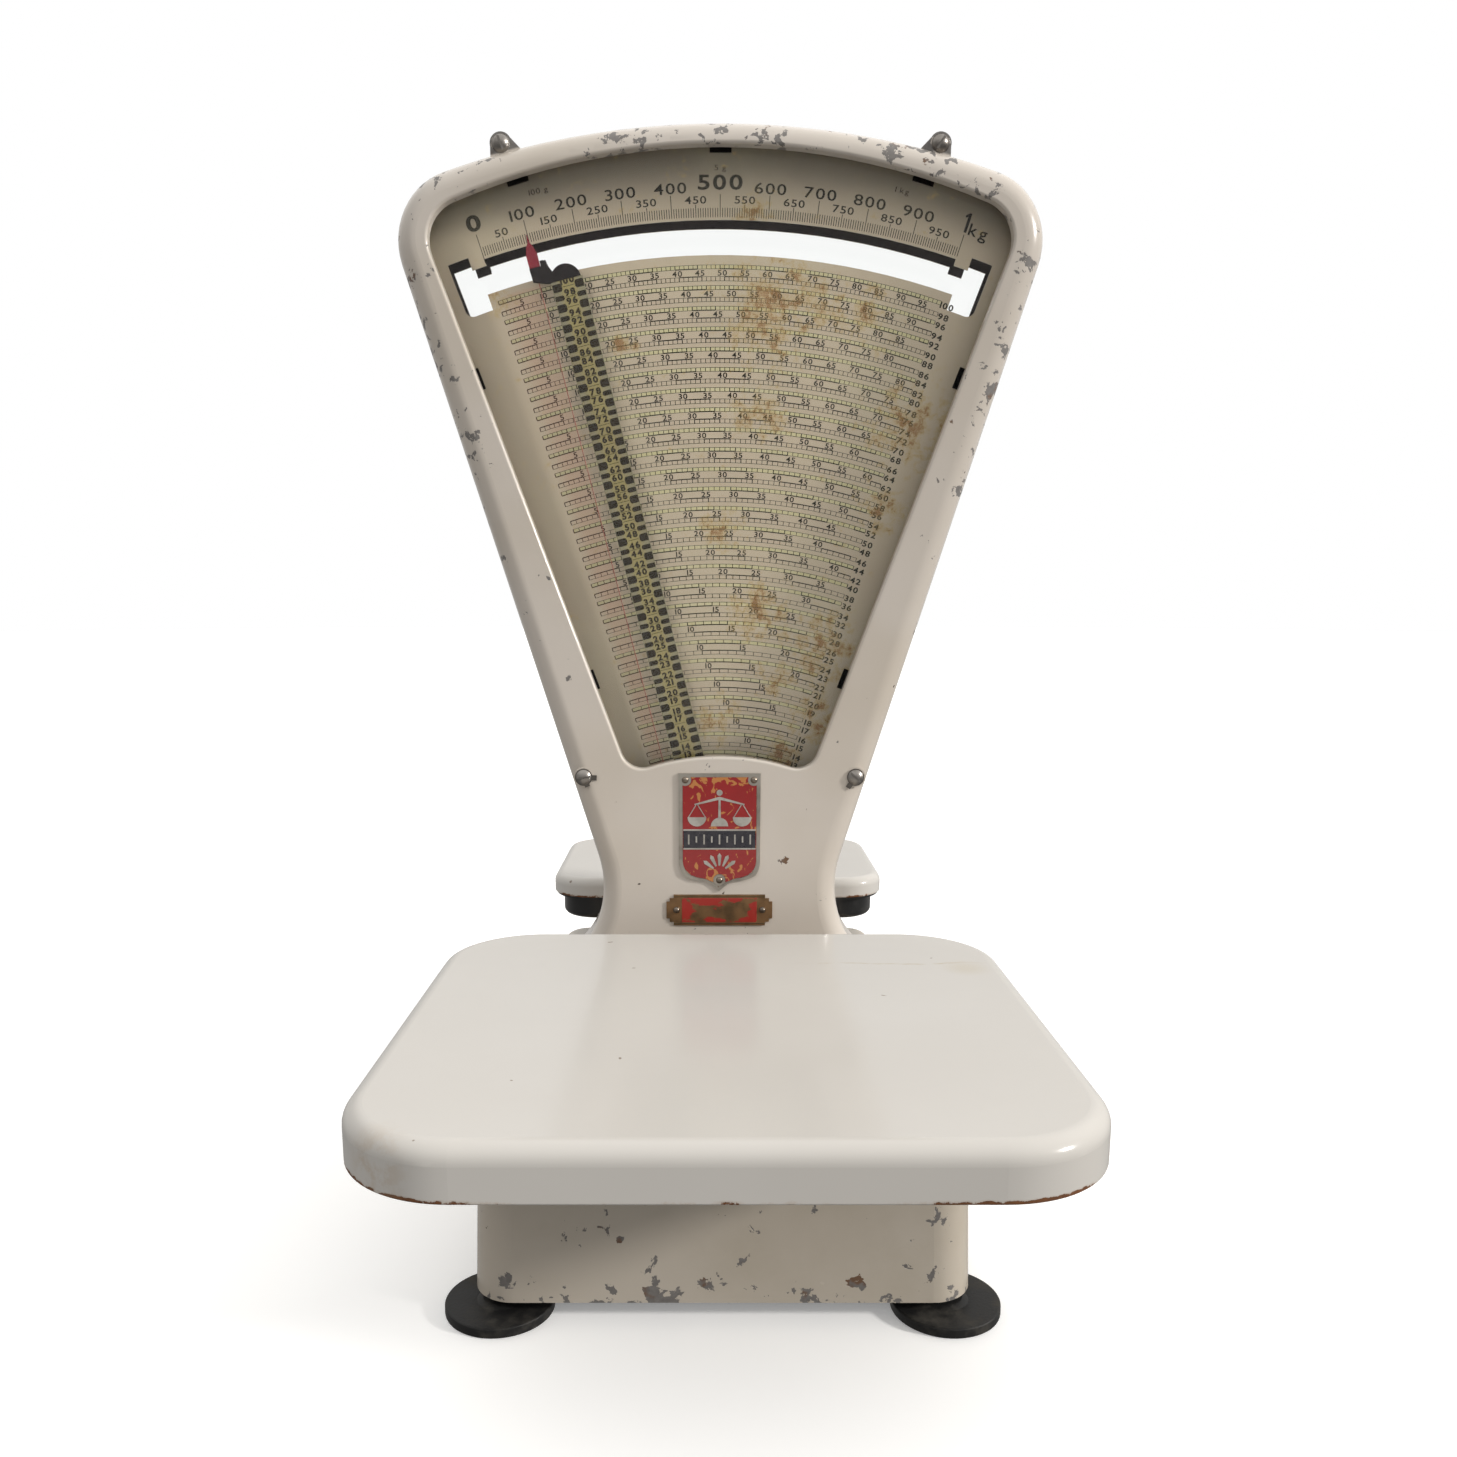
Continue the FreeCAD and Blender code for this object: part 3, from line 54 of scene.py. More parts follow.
SHIELD_RIM = 0.00235                  # width of the bare rim round the shield's recess


# ---------------------------------------------------------------- camera, light and floor
def make_camera():
    """Camera in front of the goods pan, a little above it and looking slightly down."""
    data = bpy.data.cameras.new("camera")
    data.sensor_width = 36.0
    data.lens = 30.07
    data.shift_x = 0.0148
    data.shift_y = 0.0609
    data.clip_start = 0.01
    camera = bpy.data.objects.new("camera", data)
    camera.location = (-0.0075, -0.6825, 0.335)
    camera.rotation_euler = (math.radians(79.6), 0, 0)
    bpy.context.scene.collection.objects.link(camera)
    bpy.context.scene.camera = camera


FRONT, BACK, BELOW, ABOVE = 0.42, 0.62, 0.50, 0.72     # how bright the studio is on each side


def make_light():
    """Soft studio, brighter above and behind the scale, and a low key light from the right."""
    world = bpy.data.worlds.new("studio")
    world.use_nodes = True
    tree = world.node_tree
    backdrop = tree.nodes["Background"]
    backdrop.inputs["Color"].default_value = (1.0, 0.985, 0.96, 1)
    split = tree.nodes.new("ShaderNodeSeparateXYZ")
    tree.links.new(tree.nodes.new("ShaderNodeTexCoord").outputs["Generated"], split.inputs[0])

    def share(axis, *bounds):
        made = tree.nodes.new("ShaderNodeMapRange")
        made.interpolation_type = "SMOOTHSTEP"
        tree.links.new(split.outputs[axis], made.inputs[0])
        for i, value in enumerate(bounds):
            made.inputs[i + 1].default_value = value
        return made.outputs[0]

    def join(operation, a, b):
        made = tree.nodes.new("ShaderNodeMath")
        made.operation = operation
        tree.links.new(a, made.inputs[0])
        tree.links.new(b, made.inputs[1])
        return made.outputs[0]

    along_y, upward = 1, 2
    level = join("MULTIPLY", share(along_y, -0.2, 0.85, FRONT, BACK), share(upward, -0.35, 0.0, BELOW, 1.0))
    tree.links.new(join("ADD", level, share(upward, 0.1, 0.9, 0.0, ABOVE)), backdrop.inputs["Strength"])
    bpy.context.scene.world = world
    data = bpy.data.lights.new("key", "SUN")
    data.angle = math.radians(7)
    data.energy = 2.4
    data.color = (1.0, 0.97, 0.93)
    key = bpy.data.objects.new("key", data)
    key.location = (2.3, -0.80, 1.0)
    key.rotation_euler = (-key.location).to_track_quat("-Z", "Y").to_euler()
    bpy.context.scene.collection.objects.link(key)
    bpy.context.scene.view_settings.view_transform = "Standard"


HORIZON = 12.0                        # metres from the scale to the edge of the floor
SECTORS, BELTS = 48, 8                # how finely the sky is divided


def make_floor():
    """Pale floor up to the horizon and a white sky over it. Neither throws light back on the scale."""
    turns = np.linspace(0, 2 * math.pi, SECTORS + 1)[:-1]
    rings = []
    for rise in np.linspace(0, math.pi / 2, BELTS + 1)[:-1]:
        wide, high = HORIZON * math.cos(rise), HORIZON * math.sin(rise)
        rings.append([(wide * math.cos(t), wide * math.sin(t), high) for t in turns])
    verts = [(0.0, 0.0, 0.0)] + rings[0]
    floor = mesh_object("floor", verts, [(0, i + 1, (i + 1) % SECTORS + 1) for i in range(SECTORS)])
    shader = Shader("floor_paper", {"Roughness": 0.9, "Specular IOR Level": 0.05,
                                    "Emission Color": (1, 1, 1, 1), "Emission Strength": 0.22})
    shader.plug("Base Color", shader.mix(shader.noise(3.0, 3), (0.95, 0.95, 0.95), (0.97, 0.97, 0.965)))
    floor.data.materials.append(shader.material)
    verts = [v for ring in rings for v in ring] + [(0.0, 0.0, HORIZON)]
    faces = []
    top_ring = (BELTS - 1) * SECTORS
    for start in range(0, top_ring, SECTORS):
        above = start + SECTORS
        faces += [(start + i, start + (i + 1) % SECTORS, above + (i + 1) % SECTORS, above + i)
                  for i in range(SECTORS)]
    faces += [(top_ring + i, top_ring + (i + 1) % SECTORS, top_ring + SECTORS) for i in range(SECTORS)]
    sky = mesh_object("sky", verts, faces)
    shader = Shader("sky_white", {"Base Color": (0, 0, 0, 1), "Emission Color": (1, 1, 1, 1),
                                  "Emission Strength": 1.0, "Specular IOR Level": 0.0})
    sky.data.materials.append(shader.material)
    sky.visible_shadow = False
    for thing in (floor, sky):
        thing.visible_diffuse = False
        thing.visible_glossy = False


def mesh_object(name, verts, faces):
    """New object in the scene from points in metres and faces as rings of point numbers."""
    mesh = bpy.data.meshes.new(name)
    mesh.from_pydata([tuple(v) for v in verts], [], [tuple(f) for f in faces])
    mesh.update()
    thing = bpy.data.objects.new(name, mesh)
    bpy.context.scene.collection.objects.link(thing)
    return thing


# ---------------------------------------------------------------- shader building
class Shader:
    """One node material. Patterns are in object space, which is the scale's own frame in metres."""

    def __init__(self, name, values):
        self.material = bpy.data.materials.new(name)
        self.material.use_nodes = True
        self.tree = self.material.node_tree
        self.bsdf = self.tree.nodes["Principled BSDF"]
        for socket, value in values.items():
            self.bsdf.inputs[socket].default_value = value
        self.place = self.node("ShaderNodeTexCoord").outputs["Object"]
        self.axes = self.node("ShaderNodeSeparateXYZ", {0: self.place}).outputs

    def node(self, kind, inputs=None, **settings):
        made = self.tree.nodes.new(kind)
        for key, value in settings.items():
            setattr(made, key, value)
        for key, value in (inputs or {}).items():
            self.wire(value, made.inputs[key])
        return made

    def wire(self, value, socket):
        """Link another node's output to the socket, or set a plain value on it."""
        if isinstance(value, bpy.types.NodeSocket):
            self.tree.links.new(value, socket)
        elif isinstance(value, tuple) and len(value) == 3 and socket.type == "RGBA":
            socket.default_value = (*value, 1.0)
        else:
            socket.default_value = value

    def plug(self, name, value):
        """Wire one of the main shader's own sockets."""
        self.wire(value, self.bsdf.inputs[name])

    def math(self, operation, a, b=0.0):
        return self.node("ShaderNodeMath", {0: a, 1: b}, operation=operation).outputs[0]

    def length(self, a, b):
        """Distance from the origin of the point (a, b)."""
        return self.math("SQRT", self.math("ADD", self.math("MULTIPLY", a, a), self.math("MULTIPLY", b, b)))

    def step(self, value, low, high):
        """0 below low, 1 above high and smooth between; low may be the larger."""
        made = self.node("ShaderNodeMapRange", {0: value, 1: low, 2: high, 3: 0.0, 4: 1.0},
                         interpolation_type="SMOOTHSTEP")
        return made.outputs[0]

    def stretch(self, x, y, z):
        return self.node("ShaderNodeMapping", {0: self.place, 3: (x, y, z)}).outputs[0]

    def noise(self, scale, detail=4, rough=0.55, place=None, distortion=0.0):
        inputs = {"Vector": place or self.place, "Scale": scale, "Detail": detail, "Roughness": rough,
                  "Distortion": distortion}
        return self.node("ShaderNodeTexNoise", inputs).outputs[0]

    def mix(self, share, a, b):
        """Colour between a and b."""
        made = self.node("ShaderNodeMix", data_type="RGBA")
        self.wire(share, made.inputs[0])
        self.wire(a, made.inputs[6])
        self.wire(b, made.inputs[7])
        return made.outputs[2]

    def blend(self, share, a, b):
        """Number between a and b."""
        made = self.node("ShaderNodeMix", data_type="FLOAT")
        self.wire(share, made.inputs[0])
        self.wire(a, made.inputs[2])
        self.wire(b, made.inputs[3])
        return made.outputs[0]

    def bump(self, height, strength, distance, below=None):
        inputs = {"Height": height, "Strength": strength, "Distance": distance}
        if below is not None:
            inputs["Normal"] = below
        return self.node("ShaderNodeBump", inputs).outputs[0]

    def spot(self, x, y, z, radius, soft=0.4):
        """1 inside a ball, fading to 0 at its edge."""
        away = self.node("ShaderNodeVectorMath", {0: self.place, 1: (x, y, z)},
                         operation="DISTANCE").outputs[1]
        return self.step(away, radius, radius * soft)

    def most(self, values):
        """The largest of several numbers."""
        found = values[0]
        for value in values[1:]:
            found = self.math("MAXIMUM", found, value)
        return found


# ---------------------------------------------------------------- paint, enamel, metal, glass and rubber
CREAM = (0.630, 0.575, 0.515)
WHITE = (0.600, 0.578, 0.545)
BARE = (0.115, 0.104, 0.098)          # iron where the paint is gone
RUST = (0.23, 0.085, 0.025)


def chipped_paint(shader, paint, chips, speck, gloss=0.16):
    """Paint with bare iron where chips is 1, dark specks and fine orange peel."""
    shade = shader.step(shader.noise(9.0, 3, 0.5), 0.35, 0.7)
    worn = shader.mix(shader.math("MULTIPLY", shade, 0.5), paint, (0.52, 0.455, 0.37))
    iron_tone = shader.mix(shader.noise(420.0, 3, 0.6), BARE, (0.25, 0.235, 0.22))
    rusty = shader.step(shader.noise(60.0, 4, 0.6), 0.56, 0.67)
    iron_tone = shader.mix(rusty, iron_tone, (0.16, 0.085, 0.045))
    colour = shader.mix(chips, worn, iron_tone)
    shader.plug("Base Color", shader.mix(speck, colour, (0.09, 0.07, 0.055)))
    sheen = shader.blend(shader.noise(35.0, 4), gloss, gloss + 0.10)
    shader.plug("Roughness", shader.blend(chips, sheen, 0.58))
    skin = shader.bump(shader.noise(260.0, 2, 0.5), 0.06, 0.0004)
    shader.plug("Normal", shader.bump(shader.math("SUBTRACT", 1.0, chips), 0.5, 0.0003, skin))


def flakes(shader, wear, scale=135.0, low=0.685, reach=0.17):
    """1 on flakes, which are more and larger where wear is high."""
    ragged = shader.noise(scale, 5, 0.62, distortion=0.35)
    patch = shader.noise(scale * 0.3, 3, 0.5)
    field = shader.math("ADD", ragged, shader.math("MULTIPLY", shader.math("SUBTRACT", patch, 0.5), 0.35))
    level = shader.math("ADD", field, shader.math("MULTIPLY", wear, reach))
    return shader.step(level, low, low + 0.008)


# places along the head where more paint has gone: x, z, radius
HEAD_WEAR = ((-0.166, 0.530, 0.030), (-0.150, 0.560, 0.030), (0.172, 0.515, 0.042), (0.160, 0.553, 0.030),
             (0.030, 0.590, 0.045), (-0.052, 0.585, 0.040), (0.094, 0.582, 0.035), (-0.147, 0.418, 0.020),
             (0.145, 0.425, 0.040), (0.158, 0.462, 0.035), (-0.155, 0.470, 0.030), (0.100, 0.278, 0.014),
             (0.000, 0.238, 0.016))


def head_paint():
    """Cream paint, worn along the head's edge and arch and at the ears' front, nearly whole on the neck."""
    shader = Shader("cream_head", {"IOR": 1.5, "Coat Weight": 0.35, "Coat Roughness": 0.06})
    x, y, z = shader.axes
    across = shader.math("ABSOLUTE", x)
    side_line = shader.math("ADD", HEAD_SIDE[0] - HEAD_SIDE[1] * HEAD_SIDE[2],
                            shader.math("MULTIPLY", z, HEAD_SIDE[2]))
    from_side = shader.math("SUBTRACT", side_line, across)
    up = shader.math("SUBTRACT", z, HEAD_ARC[0])
    from_arch = shader.math("SUBTRACT", HEAD_ARC[1], shader.length(x, up))
    inset = shader.math("MINIMUM", from_side, from_arch)
    rim = shader.step(inset, 0.016, 0.002)
    high = shader.step(z, 0.24, 0.47)
    arch = shader.step(from_arch, 0.032, 0.004)
    general = shader.math("MULTIPLY", rim, shader.blend(high, 0.12, 0.48))
    spots = shader.most([shader.spot(sx, HEAD_FACE_Y, sz, r * 1.3, 0.2) for sx, sz, r in HEAD_WEAR])
    wear = shader.math("MAXIMUM", general, shader.math("MULTIPLY", arch, 0.34))
    wear = shader.math("ADD", shader.math("MULTIPLY", wear, 0.62), shader.math("MULTIPLY", spots, 0.34))
    neck = shader.step(z, 0.262, 0.230)
    wear = shader.math("SUBTRACT", wear, shader.math("MULTIPLY", neck, 0.30))
    speck = shader.step(shader.noise(150.0, 2, 0.4), 0.775, 0.785)
    from_ear = shader.length(shader.math("SUBTRACT", across, EAR[0]), shader.math("SUBTRACT", z, EAR[1]))
    ragged = shader.math("MULTIPLY", shader.math("SUBTRACT", shader.noise(240.0, 3), 0.5), 0.004)
    outer = shader.step(shader.math("ADD", from_ear, ragged), EAR[2] - 0.0012, EAR[2] - 0.0008)
    outer = shader.math("MULTIPLY", outer, shader.step(from_arch, 0.0010, -0.0006))
    behind = shader.math("ADD", y, shader.math("MULTIPLY", ragged, 4.0))
    ear_edge = shader.math("MULTIPLY", outer, shader.step(behind, HEAD_FACE_Y + 0.016, HEAD_FACE_Y + 0.012))
    chipped_paint(shader, CREAM, shader.math("MAXIMUM", flakes(shader, wear), ear_edge), speck)
    return shader.material


def base_paint():
    """Grimier cream paint, chipped along the base's foot and at its corners."""
    shader = Shader("cream_base", {"IOR": 1.5, "Coat Weight": 0.3, "Coat Roughness": 0.08})
    x, y, z = shader.axes
    low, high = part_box("base_casting")
    foot = shader.step(z, low.z + 0.020, low.z)
    corner = shader.step(shader.math("ABSOLUTE", x), high.x - 0.016, high.x - 0.002)
    shoulder = shader.math("MULTIPLY", corner, shader.step(z, low.z + 0.035, high.z - 0.012))
    patch = shader.most([shader.spot(-0.060, low.y, 0.030, 0.040, 0.3),
                         shader.spot(0.108, low.y, 0.060, 0.022, 0.3),
                         shader.spot(-0.034, low.y, 0.016, 0.030, 0.3)])
    wear = shader.math("ADD", shader.math("MULTIPLY", foot, 0.80),
                       shader.math("MULTIPLY", shader.math("MAXIMUM", shoulder, patch), 0.42))
    speck = shader.step(shader.noise(170.0, 2, 0.4), 0.765, 0.775)
    grime = shader.math("MULTIPLY", shader.step(shader.noise(14.0, 5, 0.6), 0.42, 0.72), 0.35)
    paint = shader.mix(grime, (0.575, 0.515, 0.435), (0.40, 0.345, 0.25))
    chipped_paint(shader, paint, flakes(shader, wear, 100.0), speck, 0.2)
    return shader.material


def pan_enamel(node, rust_share):
    """Glossy, wavy vitreous enamel with rust at the lower rim. The goods pan is cracked and stained."""
    shader = Shader("white_" + node, {"IOR": 1.45, "Coat Weight": 0.08, "Coat Roughness": 0.06})
    x, y, z = shader.axes
    low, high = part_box(node)
    rim = shader.step(z, low.z + 0.0055, low.z + 0.0005)
    ragged = shader.noise(95.0, 6, 0.7)
    patchy = shader.most([shader.step(shader.noise(13.0, 3, 0.5), 0.50, 0.68),
                          shader.spot(high.x - 0.045, low.y + 0.004, low.z, 0.050, 0.5),
                          shader.spot(low.x + 0.030, low.y + 0.010, low.z, 0.040, 0.5)])
    level = shader.math("MULTIPLY", shader.math("ADD", ragged, shader.math("MULTIPLY", patchy, 0.22)), rim)
    rust = shader.step(level, rust_share, rust_share + 0.05)
    halo = shader.step(level, rust_share - 0.13, rust_share + 0.02)
    cloud = shader.step(shader.noise(6.0, 4, 0.5), 0.35, 0.75)
    glaze = shader.mix(cloud, WHITE, (0.575, 0.550, 0.515))
    colour = shader.mix(shader.math("MULTIPLY", halo, 0.28), glaze, (0.42, 0.30, 0.19))
    colour = shader.mix(rust, colour, shader.mix(shader.noise(300.0, 4), RUST, (0.07, 0.03, 0.015)))
    speck = shader.step(shader.noise(120.0, 2, 0.35), 0.785, 0.795)
    colour = shader.mix(shader.math("MULTIPLY", speck, 0.8), colour, (0.22, 0.17, 0.13))
    if node == "goods_pan":
        wander = shader.math("MULTIPLY", shader.math("SUBTRACT", shader.noise(38.0, 4), 0.5), 0.012)
        line = shader.math("ABSOLUTE", shader.math("SUBTRACT", shader.math("ADD", y, wander), -0.062))
        along = shader.math("MULTIPLY", shader.step(x, 0.025, 0.045), shader.step(x, 0.147, 0.120))
        crack = shader.math("MULTIPLY", shader.step(line, 0.0016, 0.0004), along)
        broken = shader.step(shader.noise(55.0, 3), 0.40, 0.60)
        crack = shader.math("MULTIPLY", shader.math("MULTIPLY", crack, broken), 0.45)
        colour = shader.mix(crack, colour, (0.46, 0.36, 0.22))
        stain = shader.math("MULTIPLY", shader.spot(0.128, -0.070, high.z, 0.016, 0.1), 0.30)
        colour = shader.mix(stain, colour, (0.50, 0.41, 0.26))
        smear = shader.spot(low.x + 0.022, low.y + 0.010, low.z + 0.010, 0.020, 0.1)
        smear = shader.math("MULTIPLY", smear, shader.step(ragged, 0.40, 0.60))
        colour = shader.mix(shader.math("MULTIPLY", smear, 0.45), colour, (0.45, 0.33, 0.21))
    shader.plug("Base Color", colour)
    shader.plug("Roughness", shader.blend(rust, shader.blend(shader.noise(22.0, 4), 0.13, 0.23), 0.8))
    wave = shader.bump(shader.noise(28.0, 2, 0.4), 0.10, 0.0010)
    peel = shader.bump(shader.noise(330.0, 2, 0.4), 0.035, 0.0003, wave)
    shader.plug("Normal", shader.bump(shader.math("SUBTRACT", 1.0, rust), 0.4, 0.0002, peel))
    return shader.material


def black_enamel():
    """Dusty black enamel with a few brown chips."""
    shader = Shader("black_enamel", {"IOR": 1.5})
    dust = shader.step(shader.noise(45.0, 5, 0.6), 0.5, 0.75)
    colour = shader.mix(shader.math("MULTIPLY", dust, 0.35), (0.012, 0.012, 0.012), (0.075, 0.07, 0.062))
    chip = shader.step(shader.noise(110.0, 5, 0.6), 0.73, 0.745)
    shader.plug("Base Color", shader.mix(chip, colour, (0.20, 0.14, 0.09)))
    shader.plug("Roughness", shader.blend(dust, 0.28, 0.62))
    shader.plug("Normal", shader.bump(shader.noise(240.0, 3), 0.12, 0.0004))
    return shader.material


def metal(name, colour, dark, rough, grain=(1.0, 1.0, 1.0), spots=0.0, bump=0.10):
    """Bare or plated metal with a grain, cloudy tarnish and, if spots is set, specks of rust."""
    shader = Shader(name, {"Metallic": 1.0})
    cloud = shader.step(shader.noise(55.0, 5, 0.6), 0.38, 0.72)
    tint = shader.mix(cloud, colour, dark)
    if spots:
        rusty = shader.step(shader.noise(210.0, 4), 0.74 - spots, 0.78 - spots)
        tint = shader.mix(rusty, tint, (0.16, 0.07, 0.03))
    shader.plug("Base Color", tint)
    scratch = shader.noise(900.0, 3, 0.6, place=shader.stretch(*grain))
    shader.plug("Roughness", shader.blend(scratch, rough * 0.7, rough * 1.35))
    shader.plug("Normal", shader.bump(scratch, bump, 0.0002))
    return shader.material


def iron():
    """Grey cast iron, unpainted."""
    shader = Shader("grey_iron", {"Metallic": 0.85})
    shader.plug("Base Color", shader.mix(shader.noise(80.0, 5), (0.17, 0.17, 0.175), (0.30, 0.29, 0.28)))
    shader.plug("Roughness", shader.blend(shader.noise(140.0, 4), 0.42, 0.66))
    shader.plug("Normal", shader.bump(shader.noise(520.0, 4), 0.30, 0.0005))
    return shader.material


def clear_glass():
    """Sheet glass that lamps shine through, with a trace of dust."""
    shader = Shader("window_glass", {"Transmission Weight": 1.0, "Roughness": 0.0, "IOR": 1.22})
    shader.plug("Base Color", shader.mix(shader.noise(7.0, 3), (0.985, 0.99, 0.985), (0.965, 0.972, 0.965)))
    lamp = shader.node("ShaderNodeLightPath").outputs["Is Shadow Ray"]
    through = shader.node("ShaderNodeBsdfTransparent", {"Color": (0.80, 0.80, 0.79)}).outputs[0]
    both = shader.node("ShaderNodeMixShader", {0: lamp, 1: shader.bsdf.outputs[0], 2: through}).outputs[0]
    shader.tree.links.new(both, shader.tree.nodes["Material Output"].inputs["Surface"])
    return shader.material


def rubber(name, tone, dusty):
    """Dusty rubber with faint level ridges."""
    shader = Shader(name, {"IOR": 1.45, "Specular IOR Level": 0.35})
    dust = shader.step(shader.noise(60.0, 5, 0.65), 0.42, 0.72)
    shader.plug("Base Color", shader.mix(shader.math("MULTIPLY", dust, dusty), tone, (0.16, 0.145, 0.12)))
    shader.plug("Roughness", shader.blend(dust, 0.48, 0.85))
    rings = shader.node("ShaderNodeTexWave", {"Vector": shader.place, "Scale": 1600.0, "Distortion": 1.0},
                        bands_direction="Z").outputs[1]
    grain = shader.bump(shader.noise(600.0, 3), 0.25, 0.0004)
    shader.plug("Normal", shader.bump(rings, 0.05, 0.0002, grain))
    return shader.material


def dull_black():
    """Blackened steel, rubbed brown in places."""
    shader = Shader("black_steel", {"IOR": 1.5, "Specular IOR Level": 0.12})
    rub = shader.math("MULTIPLY", shader.step(shader.noise(190.0, 5, 0.6), 0.60, 0.70), 0.4)
    shader.plug("Base Color", shader.mix(rub, (0.012, 0.009, 0.009), (0.07, 0.055, 0.048)))
    shader.plug("Roughness", shader.blend(shader.noise(90.0, 4), 0.45, 0.70))
    shader.plug("Normal", shader.bump(shader.noise(500.0, 3), 0.15, 0.0002))
    return shader.material


def red_lacquer():
    shader = Shader("pointer_red", {"IOR": 1.5, "Specular IOR Level": 0.3, "Coat Weight": 0.1,
                                    "Coat Roughness": 0.2})
    shader.plug("Base Color", shader.mix(shader.noise(240.0, 4), (0.19, 0.006, 0.016), (0.11, 0.005, 0.012)))
    shader.plug("Roughness", shader.blend(shader.noise(160.0, 3), 0.28, 0.45))
    shader.plug("Normal", shader.bump(shader.noise(700.0, 3), 0.10, 0.0002))
    return shader.material


# ---------------------------------------------------------------- the chart's age, shared by plate and print, and the plate's painted shade
PAPER = (0.365, 0.302, 0.220)
EDGE_TANGENT = math.tan(SLOT_HALF)            # at the ends of the range
TENTH_TANGENT = math.tan(SLOT_HALF * 0.8)     # a tenth in from them
ROWS_TOP = (0.424, 0.421)                     # where the price rows begin: radii to fade between
# rusty places on the chart: x, z, radius
STAINED = ((0.030, 0.495, 0.034), (0.055, 0.500, 0.020), (0.024, 0.438, 0.020), (0.110, 0.430, 0.028),
           (-0.056, 0.478, 0.010), (0.022, 0.325, 0.020), (0.062, 0.300, 0.026), (0.058, 0.262, 0.018),
           (0.084, 0.492, 0.018), (0.000, 0.372, 0.016), (-0.002, 0.260, 0.016), (0.036, 0.285, 0.014),
           (0.096, 0.385, 0.018), (-0.130, 0.500, 0.014), (0.018, 0.548, 0.012), (0.040, 0.238, 0.014))


def dial_fields(shader):
    """Angle's tangent and radius about the pivot, for patterns that follow the dial."""
    x, _, z = shader.axes
    up = shader.math("SUBTRACT", z, PIVOT_Z)
    return shader.math("DIVIDE", x, up), shader.length(x, up)


def aged(shader, colour, strength=1.0):
    """The colour with grey-beige ageing, and rust that came through in places."""
    ageing = shader.step(shader.noise(11.0, 5, 0.6), 0.38, 0.72)
    colour = shader.mix(shader.math("MULTIPLY", ageing, 0.30 * strength), colour, (0.37, 0.33, 0.22))
    near = shader.most([shader.spot(x, CHART_FRONT_Y, z, r * 1.5, 0.1) for x, z, r in STAINED])
    ragged = shader.math("ADD", shader.noise(130.0, 7, 0.72), shader.math("MULTIPLY", near, 0.20))
    halo = shader.math("MULTIPLY", shader.step(ragged, 0.585, 0.72), 0.60 * strength)
    heart = shader.math("MULTIPLY", shader.step(ragged, 0.69, 0.80), 0.80 * strength)
    colour = shader.mix(halo, colour, (0.33, 0.235, 0.085))
    return shader.mix(heart, colour, (0.185, 0.080, 0.020))


def chart_paper(inner_y, facing):
    """Painted plate: printed face aged, with painted shade above the slot and at the left margin, reddish
    over the first tenth, and the inner face painted near-black as painted shade.
    """
    shader = Shader("chart_paper_" + facing, {"IOR": 1.45})
    y = shader.axes[1]
    tangent, radius = dial_fields(shader)
    left = shader.math("MULTIPLY", shader.step(tangent, -EDGE_TANGENT - 0.002, -EDGE_TANGENT + 0.03),
                       shader.step(tangent, -TENTH_TANGENT + 0.012, -TENTH_TANGENT - 0.012))
    rows = shader.math("MULTIPLY", left, shader.step(radius, *ROWS_TOP))
    colour = shader.mix(shader.math("MULTIPLY", rows, 0.45), PAPER, (0.40, 0.235, 0.155))
    # painted shade: the paper is darker at the left-hand margin
    margin_shade = shader.math("MULTIPLY", shader.step(tangent, -EDGE_TANGENT, -EDGE_TANGENT - 0.03), 0.36)
    # painted shade: the paper darkens above the slot towards the arch, as if the head's arch shaded it
    painted_shade = shader.math("MULTIPLY", shader.step(radius, 0.446, 0.480), 0.88)
    painted_shade = shader.math("MAXIMUM", painted_shade, margin_shade)
    colour = shader.mix(painted_shade, colour, (0.10, 0.085, 0.062))
    colour = aged(shader, colour)
    # painted shade: each plate's inner face, which faces the other plate inside the head, is painted
    # near-black to stand for the shade there
    out = -1 if facing == "front" else 1
    inner = shader.step(y, inner_y + out * 0.0002, inner_y + out * 0.0001)
    shader.plug("Base Color", shader.mix(inner, colour, (0.022, 0.015, 0.013)))
    shader.plug("Roughness", shader.blend(shader.noise(40.0, 4), 0.42, 0.62))
    shader.plug("Normal", shader.bump(shader.noise(330.0, 4), 0.12, 0.0002))
    return shader.material


def print_ink(name, dark, weak, strength, red=0.7):
    """Printing ink that has faded unevenly, turns red over the first tenth and shares the plate's stains."""
    shader = Shader(name, {"IOR": 1.45, "Specular IOR Level": 0.3})
    tangent, radius = dial_fields(shader)
    colour = shader.mix(shader.step(shader.noise(34.0, 5, 0.6), 0.35, 0.75), dark, weak)
    reddish = shader.math("MULTIPLY", shader.step(tangent, -TENTH_TANGENT + 0.004, -TENTH_TANGENT - 0.004),
                          shader.step(radius, *ROWS_TOP))
    colour = shader.mix(shader.math("MULTIPLY", reddish, red), colour, (0.060, 0.024, 0.014))
    shader.plug("Base Color", aged(shader, colour, strength))
    shader.plug("Roughness", shader.blend(shader.noise(80.0, 3), 0.45, 0.65))
    shader.plug("Normal", shader.bump(shader.noise(330.0, 3), 0.10, 0.0001))
    return shader.material


